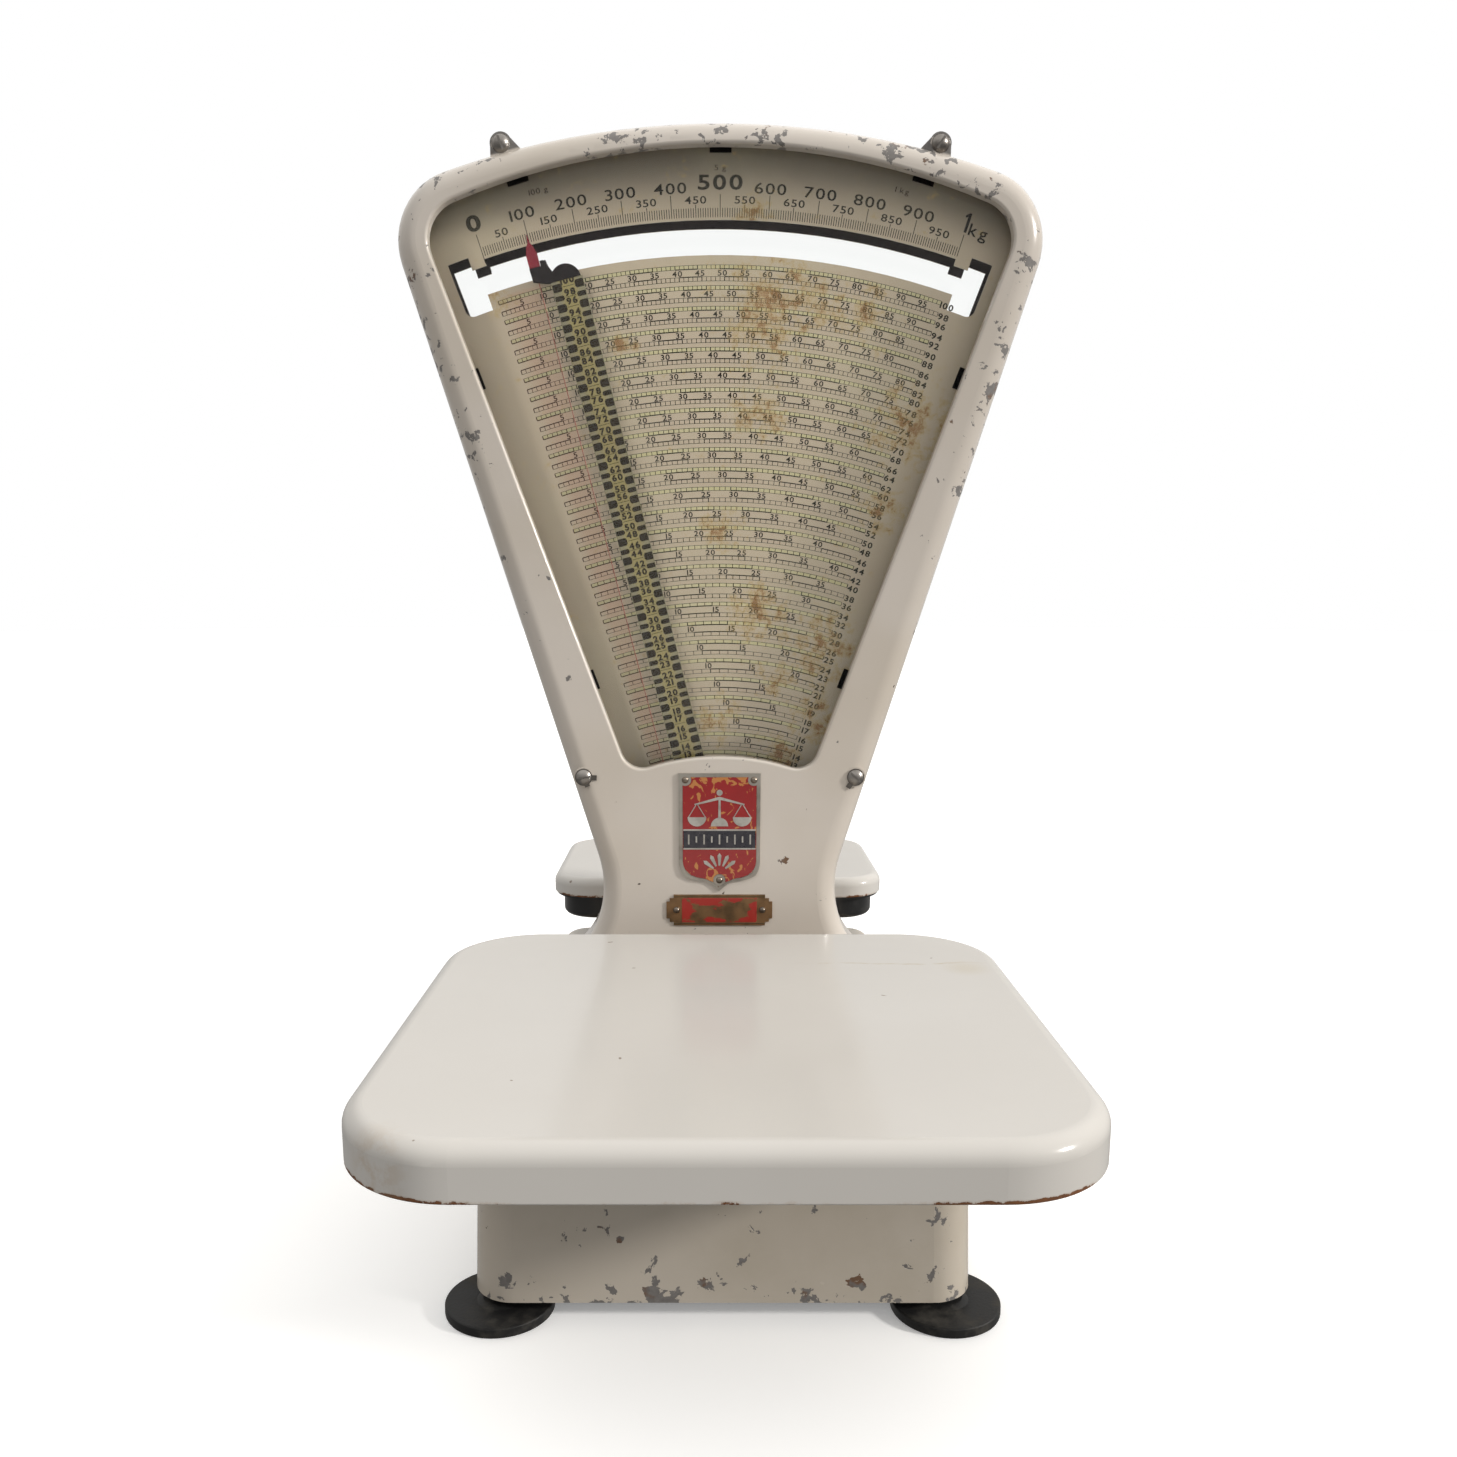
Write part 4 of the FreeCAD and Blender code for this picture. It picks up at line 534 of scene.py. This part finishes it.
# ---------------------------------------------------------------- flat print
class Print:
    """Flat print on an upright plate, drawn about the dial's pivot. Angles are clockwise from upright."""

    def __init__(self, y, front=True):
        self.y = y
        self.front = front
        self.points = []
        self.faces = []
        self.count = 0

    def add(self, points, faces, flip=False):
        """Points as (x, z) pairs, and faces that are turned round where needed to face the reader."""
        turn = flip == self.front
        self.points.append(np.asarray(points, float))
        for face in faces:
            ring = [self.count + i for i in face]
            self.faces.append(ring[::-1] if turn else ring)
        self.count += len(points)

    def at(self, angle, radius, aside=0.0):
        """(x, z) at that angle and radius, moved aside to the right of the ray."""
        c, s = math.cos(angle), math.sin(angle)
        return (radius * s + aside * c, PIVOT_Z + radius * c - aside * s)

    def line(self, a, b, width):
        """Straight line between two (x, z) points."""
        (ax, az), (bx, bz) = a, b
        length = math.hypot(bx - ax, bz - az)
        nx, nz = -(bz - az) / length * width / 2, (bx - ax) / length * width / 2
        self.area([(ax - nx, az - nz), (bx - nx, bz - nz), (bx + nx, bz + nz), (ax + nx, az + nz)])

    def tick(self, angle, low, high, width):
        self.line(self.at(angle, low), self.at(angle, high), width)

    def arc(self, low, high, first, last, step=math.radians(0.8)):
        """Curved band between two radii."""
        count = max(1, math.ceil(abs(last - first) / step))
        points = []
        for angle in np.linspace(first, last, count + 1):
            points += [self.at(angle, low), self.at(angle, high)]
        self.add(points, [(2 * i, 2 * i + 2, 2 * i + 3, 2 * i + 1) for i in range(count)], True)

    def area(self, corners):
        self.add(corners, [tuple(range(len(corners)))], True)

    def text(self, words, angle, radius, height, wide=1.0, bold=0.0, aside=0.0):
        """Upright figures, centred at that place and turned with the dial."""
        x, z = self.at(angle, radius, aside)
        c, s = math.cos(angle), math.sin(angle)
        reader = 1.0 if self.front else -1.0
        advance = [glyph(ch, bold)[2] if ch != " " else 0.4 for ch in words]
        start = -sum(advance) / 2
        for ch, step in zip(words, advance):
            if ch != " ":
                outline, faces, _ = glyph(ch, bold)
                gx = (outline[:, 0] + start) * height * wide * reader
                gz = (outline[:, 1] - 0.5) * height
                self.add(np.column_stack((x + gx * c + gz * s, z - gx * s + gz * c)), faces, self.front)
            start += step

    def piece(self, name, material, body, slot, turn=0.0):
        """The print as one piece on that body, turned about the pivot."""
        flat = np.concatenate(self.points)
        verts = np.column_stack((flat[:, 0], np.full(len(flat), self.y), flat[:, 1]))
        thing = mesh_object(name, verts.tolist(), self.faces)
        if turn:
            pivot = Matrix.Translation((0, 0, PIVOT_Z))
            thing.data.transform(pivot @ Matrix.Rotation(turn, 4, "Y") @ pivot.inverted())
        thing.data.materials.append(material)
        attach(thing, body)


GLYPHS = {}
FONT_CAPS = 0.729                     # height of the built-in font's capitals at size 1
FIGURE_GAP = 0.16


def glyph(ch, bold):
    """A character's flat mesh, one unit tall: its points, its faces and its advance."""
    key = (ch, bold)
    if key not in GLYPHS:
        curve = bpy.data.curves.new("glyph", "FONT")
        curve.body = ch
        curve.size = 1.0
        curve.offset = bold
        curve.resolution_u = 3
        holder = bpy.data.objects.new("glyph", curve)
        bpy.context.scene.collection.objects.link(holder)
        mesh = bpy.data.meshes.new_from_object(holder)
        points = np.array([v.co[:2] for v in mesh.vertices], float) / FONT_CAPS
        faces = [tuple(p.vertices) for p in mesh.polygons]
        low, high = points[:, 0].min(), points[:, 0].max()
        points[:, 0] += FIGURE_GAP / 2 - low
        GLYPHS[key] = (points, faces, high - low + FIGURE_GAP)
        bpy.data.objects.remove(holder)
        bpy.data.curves.remove(curve)
    return GLYPHS[key]


# ---------------------------------------------------------------- chart layout
PAIR_FIRST = 0.4157                  # radius of the first pair of rows
PAIR_PITCH = 0.01114
UPPER_BAND = (0.00275, 0.00485)      # a pair's ruled bands, from its radius
LOWER_BAND = (-0.00375, -0.00145)
FIGURES = 0.00065                    # a pair's figures, from its radius
LABEL = 0.00305                      # the prices at the right-hand end, above and below a pair's radius
LABEL_ASIDE = 0.0036
RULE_HALF = 0.00013                  # half widths of a band's edge line and of the bars on it
BAR_HALF = 0.00030
PRICES = list(range(100, 25, -2)) + list(range(25, 12, -1))


def row_angle(value, price):
    """Where the pointer stands when goods at that price come to that value."""
    return (value / price - 0.5) * 2 * SLOT_HALF


def pairs():
    """Rows two by two, as (radius, upper price, lower price or None)."""
    found = []
    for i in range(0, len(PRICES), 2):
        lower = PRICES[i + 1] if i + 1 < len(PRICES) else None
        found.append((PAIR_FIRST - PAIR_PITCH * i / 2, PRICES[i], lower))
    return found


def draw_rows(ink, tint, faint):
    """The price rows: ruled bands, bars over every other five, values between and prices at the end."""
    for radius, upper, lower in pairs():
        for price, (low, high), inner in ((upper, UPPER_BAND, 0), (lower, LOWER_BAND, 1)):
            if price is None:
                continue
            low, high = radius + low, radius + high
            inner_r = (low, high)[inner]
            if inner == 0:
                tint.arc(low, high, -SLOT_HALF, SLOT_HALF)
            for edge in (low, high):
                faint.arc(edge - RULE_HALF, edge + RULE_HALF, -SLOT_HALF, SLOT_HALF)
            for value in range(price + 1):
                layer, width = (ink, 0.00055) if value % 5 == 0 else (faint, 0.00038)
                layer.tick(row_angle(value, price), low, high, width)
            for value in range(0, price, 10):
                ends = row_angle(value, price), row_angle(min(value + 5, price), price)
                ink.arc(inner_r - BAR_HALF, inner_r + BAR_HALF, *ends)
        ink.text(str(upper), SLOT_HALF, radius + LABEL, 0.0034, 1.22, 0.030, LABEL_ASIDE)
        if lower is not None:
            ink.text(str(lower), SLOT_HALF, radius - LABEL, 0.0034, 1.22, 0.030, LABEL_ASIDE)
        other = lower or upper
        for value in range(5, other - 1, 5):
            middle = (row_angle(value, upper) + row_angle(value, other)) / 2
            ink.text(str(value), middle, radius + FIGURES, 0.0031, 1.22, 0.020)


FULL_LOAD = 1000                     # grams
TICK_LOW, ZERO_TICK_LOW = 0.4458, 0.4420
TICK_HIGH = {100: 0.4580, 50: 0.4526, 5: 0.4508}


def draw_weights(ink):
    """The weight scale above the slot: ticks for every 5 g, figures for every 50 g and small notes."""
    for grams in range(0, FULL_LOAD + 1, 5):
        angle = (grams / FULL_LOAD - 0.5) * 2 * SLOT_HALF
        high = next(TICK_HIGH[step] for step in (100, 50, 5) if grams % step == 0)
        ink.tick(angle, TICK_LOW if grams else ZERO_TICK_LOW, high, 0.00042)
        if grams in (0, FULL_LOAD):
            continue
        if grams == 500:
            ink.text("500", angle, 0.4645, 0.0080, 1.42, 0.020)
        elif grams % 100 == 0:
            ink.text(str(grams), angle, 0.4618, 0.0060, 1.38, 0.008)
        elif grams % 50 == 0:
            ink.text(str(grams), angle, 0.4552, 0.0041, 1.36, 0.012)
    ink.text("0", -SLOT_HALF, 0.4644, 0.0086, 1.42, 0.030, 0.0004)
    foot, top = 0.4592, 0.4698
    one = [(-0.0008, foot), (0.0008, foot), (0.0008, top), (-0.0004, top), (-0.0026, top - 0.0021),
           (-0.0018, top - 0.0030), (-0.0008, top - 0.0021)]
    reader, shift = (1, 0.0) if ink.front else (-1, 0.0045)
    ink.area([ink.at(SLOT_HALF, radius, aside * reader + shift) for aside, radius in one[::reader]])
    ink.text("kg", SLOT_HALF, 0.4620, 0.0066, 1.15, 0.012, 0.0072 * reader + shift)
    for words, angle, radius in (("100 g", -12.6, 0.4712), ("5 g", 0.0, 0.4720), ("1 kg", 12.6, 0.4712)):
        ink.text(words, math.radians(angle), radius, 0.0030, 1.30)


INK_STEP = 0.00003                   # how far each layer of print stands in front of the one below


def make_chart_print():
    """Print on both plates, in three layers: tinted bands, thin ruling, figures and strong lines."""
    dark_ink = print_ink("chart_ink", (0.010, 0.008, 0.006), (0.026, 0.020, 0.014), 0.35)
    thin_ink = print_ink("chart_ruling", (0.020, 0.016, 0.011), (0.045, 0.036, 0.024), 0.35)
    band_ink = print_ink("chart_bands", (0.395, 0.365, 0.200), (0.405, 0.365, 0.235), 1.0, 0.12)
    for side, y, out in (("front", CHART_FRONT_Y, -1), ("rear", CHART_REAR_Y, 1)):
        tint, faint, ink = [Print(y + out * layer * INK_STEP, out < 0) for layer in (1, 2, 3)]
        draw_rows(ink, tint, faint)
        draw_weights(ink)
        tint.piece("chart_tint_" + side, band_ink, "root", "chart_print")
        faint.piece("chart_ruling_" + side, thin_ink, "root", "chart_print")
        ink.piece("chart_figures_" + side, dark_ink, "root", "chart_print")


LADDER_IN, LADDER_OUT = 0.0065, 0.025         # the strip's edges, right of the hairline
LADDER_MID = (LADDER_IN + LADDER_OUT) / 2


def make_ladder_print():
    """Row prices down the strip beside the hairline, with black marks whose points face the figures."""
    turn = math.radians(REST_SWING)
    marks = Print(LADDER_Y - 0.00004)
    rule = Print(LADDER_Y - 0.00003)
    for radius, upper, lower in pairs():
        for low, high in ((LOWER_BAND[1], UPPER_BAND[0]), (LOWER_BAND[0] - 0.00255, LOWER_BAND[0])):
            r0, r1 = radius + low - 0.00010, radius + high + 0.00010
            mid = (r0 + r1) / 2
            blunt = (r1 - r0) * 0.26
            for s, flat, tip in ((1, LADDER_IN + 0.0003, LADDER_IN + 0.0056),
                                 (-1, LADDER_OUT - 0.0003, LADDER_OUT - 0.0054)):
                shoulder = tip - s * 0.0008
                corners = [(flat, r0 + 0.0003), (flat + s * 0.0004, r0), (shoulder, r0), (tip, mid - blunt),
                           (tip, mid + blunt), (shoulder, r1), (flat + s * 0.0004, r1), (flat, r1 - 0.0003)]
                if s < 0:
                    corners = corners[::-1]
                marks.area([(a, PIVOT_Z + r) for a, r in corners])
            rule.line((LADDER_IN + 0.006, PIVOT_Z + mid), (LADDER_OUT - 0.006, PIVOT_Z + mid), 0.0003)
        for price, band in ((upper, UPPER_BAND), (lower, LOWER_BAND)):
            if price is not None:
                marks.text(str(price), 0.0, radius + sum(band) / 2, 0.0035, 1.12, 0.050, LADDER_MID)
    ink = Shader("ladder_ink", {"IOR": 1.45, "Specular IOR Level": 0.2})
    ink.plug("Base Color", ink.mix(ink.noise(120.0, 4), (0.009, 0.007, 0.004), (0.026, 0.019, 0.010)))
    ink.plug("Roughness", ink.blend(ink.noise(90.0, 3), 0.30, 0.5))
    ink.plug("Normal", ink.bump(ink.noise(400.0, 3), 0.1, 0.0001))
    marks.piece("ladder_marks", ink.material, "pendulum", "ladder_print", turn)
    rule.piece("ladder_rules", ink.material, "pendulum", "ladder_print", turn)


def ladder_strip():
    """Olive-yellow celluloid: greyer towards both edges."""
    shader = Shader("ladder_strip", {"IOR": 1.5, "Coat Weight": 0.3, "Coat Roughness": 0.12})
    x, _, z = shader.axes
    lean = math.tan(math.radians(REST_SWING))
    aside = shader.math("SUBTRACT", x, shader.math("MULTIPLY", shader.math("SUBTRACT", z, PIVOT_Z), lean))
    aside = shader.math("MULTIPLY", aside, math.cos(math.radians(REST_SWING)))
    off = shader.math("ABSOLUTE", shader.math("SUBTRACT", aside, LADDER_MID))
    colour = shader.mix(shader.step(off, 0.0026, 0.0068), (0.205, 0.165, 0.050), (0.165, 0.145, 0.080))
    dull = shader.math("MULTIPLY", shader.step(shader.noise(50.0, 5), 0.4, 0.7), 0.4)
    colour = shader.mix(dull, colour, (0.145, 0.105, 0.032))
    shader.plug("Base Color", colour)
    shader.plug("Roughness", shader.blend(shader.noise(70.0, 4), 0.22, 0.40))
    shader.plug("Normal", shader.bump(shader.noise(300.0, 3), 0.08, 0.0002))
    return shader.material


# ---------------------------------------------------------------- badges
def shield_outline():
    """Ring of the enamel that fills the shield's recess, with notches for the rivets' pads."""
    top, tip, half = SHIELD_TOP - SHIELD_RIM, SHIELD_TIP, SHIELD_W / 2 - SHIELD_RIM
    right = []
    right += ring_points(0.0204, 0.2264, 0.0036, 152, 298, 10)
    right[0] = (right[0][0], top)
    right[-1] = (half, right[-1][1])
    right += [(half, tip + 0.0184), (half - 0.0004, tip + 0.0158), (half - 0.0014, tip + 0.0136),
              (half - 0.0030, tip + 0.0117), (half - 0.0050, tip + 0.0100), (half - 0.0085, tip + 0.0087),
              (0.0085, tip + 0.0078), (0.0056, tip + 0.0064)]
    right += ring_points(0.0, tip + 0.0070, 0.0037, -20, 90, 7)
    return right + [(-x, z) for x, z in reversed(right[:-1])]


def slab_piece(name, ring, low_y, high_y, material, bevel=0.00012):
    """Raised flat piece between two depths, from a ring of (x, z) points, with rounded edges."""
    count = len(ring)
    verts = [(x, high_y, z) for x, z in ring] + [(x, low_y, z) for x, z in ring]
    faces = [tuple(range(count)), tuple(range(2 * count - 1, count - 1, -1))]
    faces += [(i, count + i, count + (i + 1) % count, (i + 1) % count) for i in range(count)]
    thing = mesh_object(name, verts, faces)
    modifier = thing.modifiers.new("soft", "BEVEL")
    modifier.width = bevel
    modifier.segments = 2
    modifier.limit_method = "ANGLE"
    thing.data.materials.append(material)
    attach(thing, "root")


def enamel_red():
    """Red enamel with orange flames that lick in from the top, the bottom and the sides."""
    shader = Shader("shield_red", {"IOR": 1.52, "Coat Weight": 0.5, "Coat Roughness": 0.08})
    x, _, z = shader.axes
    across = shader.math("ABSOLUTE", x)
    flame = shader.noise(190.0, 3, 0.5, place=shader.stretch(0.8, 1.0, 0.6), distortion=1.6)
    reach = shader.most([shader.step(z, 0.213, 0.229),
                         shader.math("MULTIPLY", shader.step(z, 0.181, 0.166), 0.55),
                         shader.math("MULTIPLY", shader.step(across, 0.0150, 0.0225), 0.5)])
    lick = shader.step(shader.math("ADD", flame, shader.math("MULTIPLY", reach, 0.155)), 0.645, 0.665)
    colour = shader.mix(shader.noise(60.0, 3), (0.33, 0.012, 0.012), (0.24, 0.009, 0.010))
    shader.plug("Base Color", shader.mix(lick, colour, (0.50, 0.20, 0.055)))
    shader.plug("Roughness", shader.blend(shader.noise(130.0, 3), 0.14, 0.26))
    shader.plug("Normal", shader.bump(shader.noise(260.0, 2), 0.06, 0.0003))
    return shader.material


def plain_paint(name, a, b, rough, metallic=0.0):
    """Thin paint whose colour drifts between two tones."""
    shader = Shader(name, {"IOR": 1.5, "Metallic": metallic})
    shader.plug("Base Color", shader.mix(shader.step(shader.noise(180.0, 5, 0.6), 0.35, 0.7), a, b))
    shader.plug("Roughness", shader.blend(shader.noise(150.0, 3), rough * 0.8, rough * 1.3))
    shader.plug("Normal", shader.bump(shader.noise(500.0, 3), 0.10, 0.0002))
    return shader.material


def ring_points(cx, cz, radius, first, last, count):
    """Points on an arc about (cx, cz), between two angles in degrees."""
    return [(cx + radius * math.cos(t), cz + radius * math.sin(t))
            for t in np.linspace(math.radians(first), math.radians(last), count)]


def oblong(x, z, half_w, half_h):
    """Upright rectangle about (x, z), from its half width and half height."""
    return [(x + a * half_w, z + b * half_h) for a, b in ((-1, -1), (1, -1), (1, 1), (-1, 1))]


BAR_Z = 0.1905                       # middle of the shield's dark bar
BALANCE_ARM = 0.0135                 # from the balance's post to the middle of a pan
HOOK_Z, PAN_Z = 0.2120, 0.2040       # heights of the chains' upper and lower ends
CHAIN_HALF = 0.00028
RAYS_Z = 0.1700                      # where the rays meet


def make_badge():
    """Shield in red enamel with a plain balance above a dark bar and a fan of rays below it."""
    floor_y = HEAD_FACE_Y - 0.0008   # the recess's floor and the enamel's face
    face_y = floor_y - 0.00028
    slab_piece("shield_enamel", shield_outline(), floor_y, face_y, enamel_red())
    silver = plain_paint("shield_silver", (0.60, 0.58, 0.54), (0.44, 0.42, 0.38), 0.34, 0.75)
    dark = plain_paint("shield_dark", (0.022, 0.022, 0.030), (0.045, 0.042, 0.050), 0.25)
    proud = face_y - 0.00016         # the silver's front, and its back inside the enamel
    sunk = face_y + 0.0001
    half = SHIELD_W / 2 - 0.0027
    frame_ring = oblong(0, BAR_Z, half, 0.0062)
    slab_piece("shield_bar_edge", frame_ring, sunk, proud + 0.00004, silver)
    slab_piece("shield_bar", oblong(0, BAR_Z, half, 0.0053), sunk, proud, dark)
    for i in range(9):
        ring = oblong((i - 4) * 0.0046, BAR_Z, 0.00045, 0.0030 if i % 2 == 0 else 0.0019)
        slab_piece("shield_bar_tick_%d" % i, ring, proud + 0.0001, proud - 0.00008, silver,
                   0.00004)
    post = [(-0.0008, 0.2035), (0.0008, 0.2035), (0.0006, 0.2145), (-0.0006, 0.2145)]
    foot = ring_points(0.0, 0.1985, 0.0052, 0, 180, 12)
    beam = [(-0.0150, HOOK_Z), (-0.0146, HOOK_Z - 0.0008), (0.0, 0.2146), (0.0146, HOOK_Z - 0.0008),
            (0.0150, HOOK_Z), (0.0, 0.2164)]
    knob = ring_points(0.0, 0.2188, 0.0018, 0, 342, 20)
    parts = {"post": post, "foot": foot, "beam": beam, "knob": knob}
    for s in (-1, 1):
        side = "left" if s < 0 else "right"
        middle = s * BALANCE_ARM
        parts["pan_" + side] = ring_points(middle, PAN_Z, 0.0056, 180, 360, 14)
        for t in (-1, 1):
            x0, x1 = middle + t * 0.0050, middle + t * 0.0002
            ring = [(x0 - CHAIN_HALF, PAN_Z), (x0 + CHAIN_HALF, PAN_Z),
                    (x1 + CHAIN_HALF, HOOK_Z), (x1 - CHAIN_HALF, HOOK_Z)]
            parts["chain_%s_%s" % (side, "in" if t * s < 0 else "out")] = ring
    for i, turn in enumerate((-52, -26, 0, 26, 52)):
        t = math.radians(turn)
        c, s = math.cos(t), math.sin(t)
        ring = []
        for a, r in ((-0.0005, 0.0045), (0.0005, 0.0045), (0.0012, 0.0105), (0.0, 0.0122), (-0.0012, 0.0105)):
            ring.append((a * c - r * s, RAYS_Z + a * s + r * c))
        parts["ray_%d" % i] = ring
    for name, ring in parts.items():
        slab_piece("shield_" + name, ring, sunk, proud, silver, 0.00006)


def brass_plate():
    """Small plate: brass with remains of red fill, and an engraved frame."""
    shader = Shader("badge_brass", {})
    x, _, z = shader.axes
    low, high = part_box("small_plate")
    up = shader.math("ABSOLUTE", shader.math("SUBTRACT", z, (low.z + high.z) / 2))
    across = shader.math("ABSOLUTE", x)
    field = shader.math("MULTIPLY", shader.step(up, 0.0077, 0.0074), shader.step(across, 0.0229, 0.0224))
    ragged = shader.noise(115.0, 6, 0.68, place=shader.stretch(0.7, 1.0, 1.6))
    edge = shader.math("MAXIMUM", shader.step(up, 0.0030, 0.0070), shader.step(across, 0.0120, 0.0215))
    left = shader.step(ragged, 0.575, 0.60)
    kept = shader.step(shader.math("ADD", ragged, shader.math("MULTIPLY", edge, 0.12)), 0.565, 0.59)
    fill = shader.math("MULTIPLY", field, shader.math("MAXIMUM", left, kept))
    tarnish = shader.step(shader.noise(90.0, 5), 0.35, 0.7)
    tone = shader.mix(tarnish, (0.30, 0.175, 0.085), (0.15, 0.095, 0.048))
    frame_line = shader.math("MULTIPLY", shader.step(up, 0.0088, 0.0085), shader.step(up, 0.0079, 0.0082))
    tone = shader.mix(frame_line, tone, (0.11, 0.08, 0.04))
    shader.plug("Base Color", shader.mix(fill, tone, (0.36, 0.025, 0.018)))
    shader.plug("Metallic", shader.blend(fill, 0.75, 0.0))
    shader.plug("Roughness", shader.blend(fill, 0.42, 0.30))
    etch = shader.bump(shader.math("ADD", field, frame_line), 0.5, 0.0003)
    shader.plug("Normal", shader.bump(ragged, 0.25, 0.0003, etch))
    return shader.material


# ---------------------------------------------------------------- dress the CAD nodes
def dress(names, material):
    """Give each of the named CAD nodes the material."""
    for name in names.split():
        for slot in NODES[name].material_slots:
            slot.material = material


def make_finishes():
    dress("head_front_shell head_rear_shell", head_paint())
    dress("base_casting", base_paint())
    dress("goods_pan", pan_enamel("goods_pan", 0.60))
    dress("weights_pan", pan_enamel("weights_pan", 0.68))
    dress("bottom_cover goods_carrier_spider weights_carrier_tray goods_carrier_stem weights_carrier_stem",
          black_enamel())
    dress("fulcrum_bridge main_beam damper_arm", iron())
    steel = metal("bright_steel", (0.50, 0.49, 0.47), (0.36, 0.35, 0.33), 0.30, (1.0, 0.2, 1.0))
    dress("front_stay rear_stay stay_anchor_pin link_rod beam_link_pin poise_rod knife_edges "
          "fulcrum_bearings goods_carrier_bearings weights_carrier_bearings pendulum_shaft "
          "pendulum_arm pendulum_brackets crank_arm dashpot_plunger chart_posts chart_spacers "
          "bottom_cover_screws fulcrum_bridge_bolts head_foot_bolts", steel)
    dress("zero_poise_nut pendulum_bob pendulum_bearings dashpot_cylinder dashpot_lid",
          metal("brass", (0.60, 0.42, 0.17), (0.42, 0.28, 0.11), 0.30, (1.0, 1.0, 0.2)))
    dress("shell_screws", metal("nickel_plate", (0.32, 0.30, 0.28), (0.14, 0.125, 0.11), 0.36, spots=0.06))
    dress("lock_washers", metal("dark_washer", (0.17, 0.155, 0.14), (0.09, 0.08, 0.07), 0.42))
    dress("badge_rivets", metal("rivet_metal", (0.26, 0.22, 0.18), (0.13, 0.105, 0.085), 0.34))
    dress("shield_badge", metal("badge_metal", (0.50, 0.47, 0.42), (0.30, 0.27, 0.235), 0.38, spots=0.02))
    dress("small_plate", brass_plate())
    dress("front_glass rear_glass", clear_glass())
    dress("glass_clips pointer_frame pointer_head rear_pointer_frame", dull_black())
    dress("chart_plate_front", chart_paper(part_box("chart_plate_front")[1].y, "front"))
    dress("chart_plate_rear", chart_paper(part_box("chart_plate_rear")[0].y, "rear"))
    dress("pointer_ladder", ladder_strip())
    dress("pointer_tip", red_lacquer())
    dress("pointer_hairline", plain_paint("hairline", (0.24, 0.055, 0.03), (0.17, 0.04, 0.025), 0.4))
    dress("goods_carrier_buffers", rubber("black_rubber", (0.020, 0.020, 0.020), 0.2))
    dress("foot_front_left foot_front_right foot_rear_left foot_rear_right",
          rubber("foot_rubber", (0.014, 0.014, 0.014), 0.35))


make_camera()
make_light()
make_floor()
make_finishes()
make_chart_print()
make_ladder_print()
make_badge()
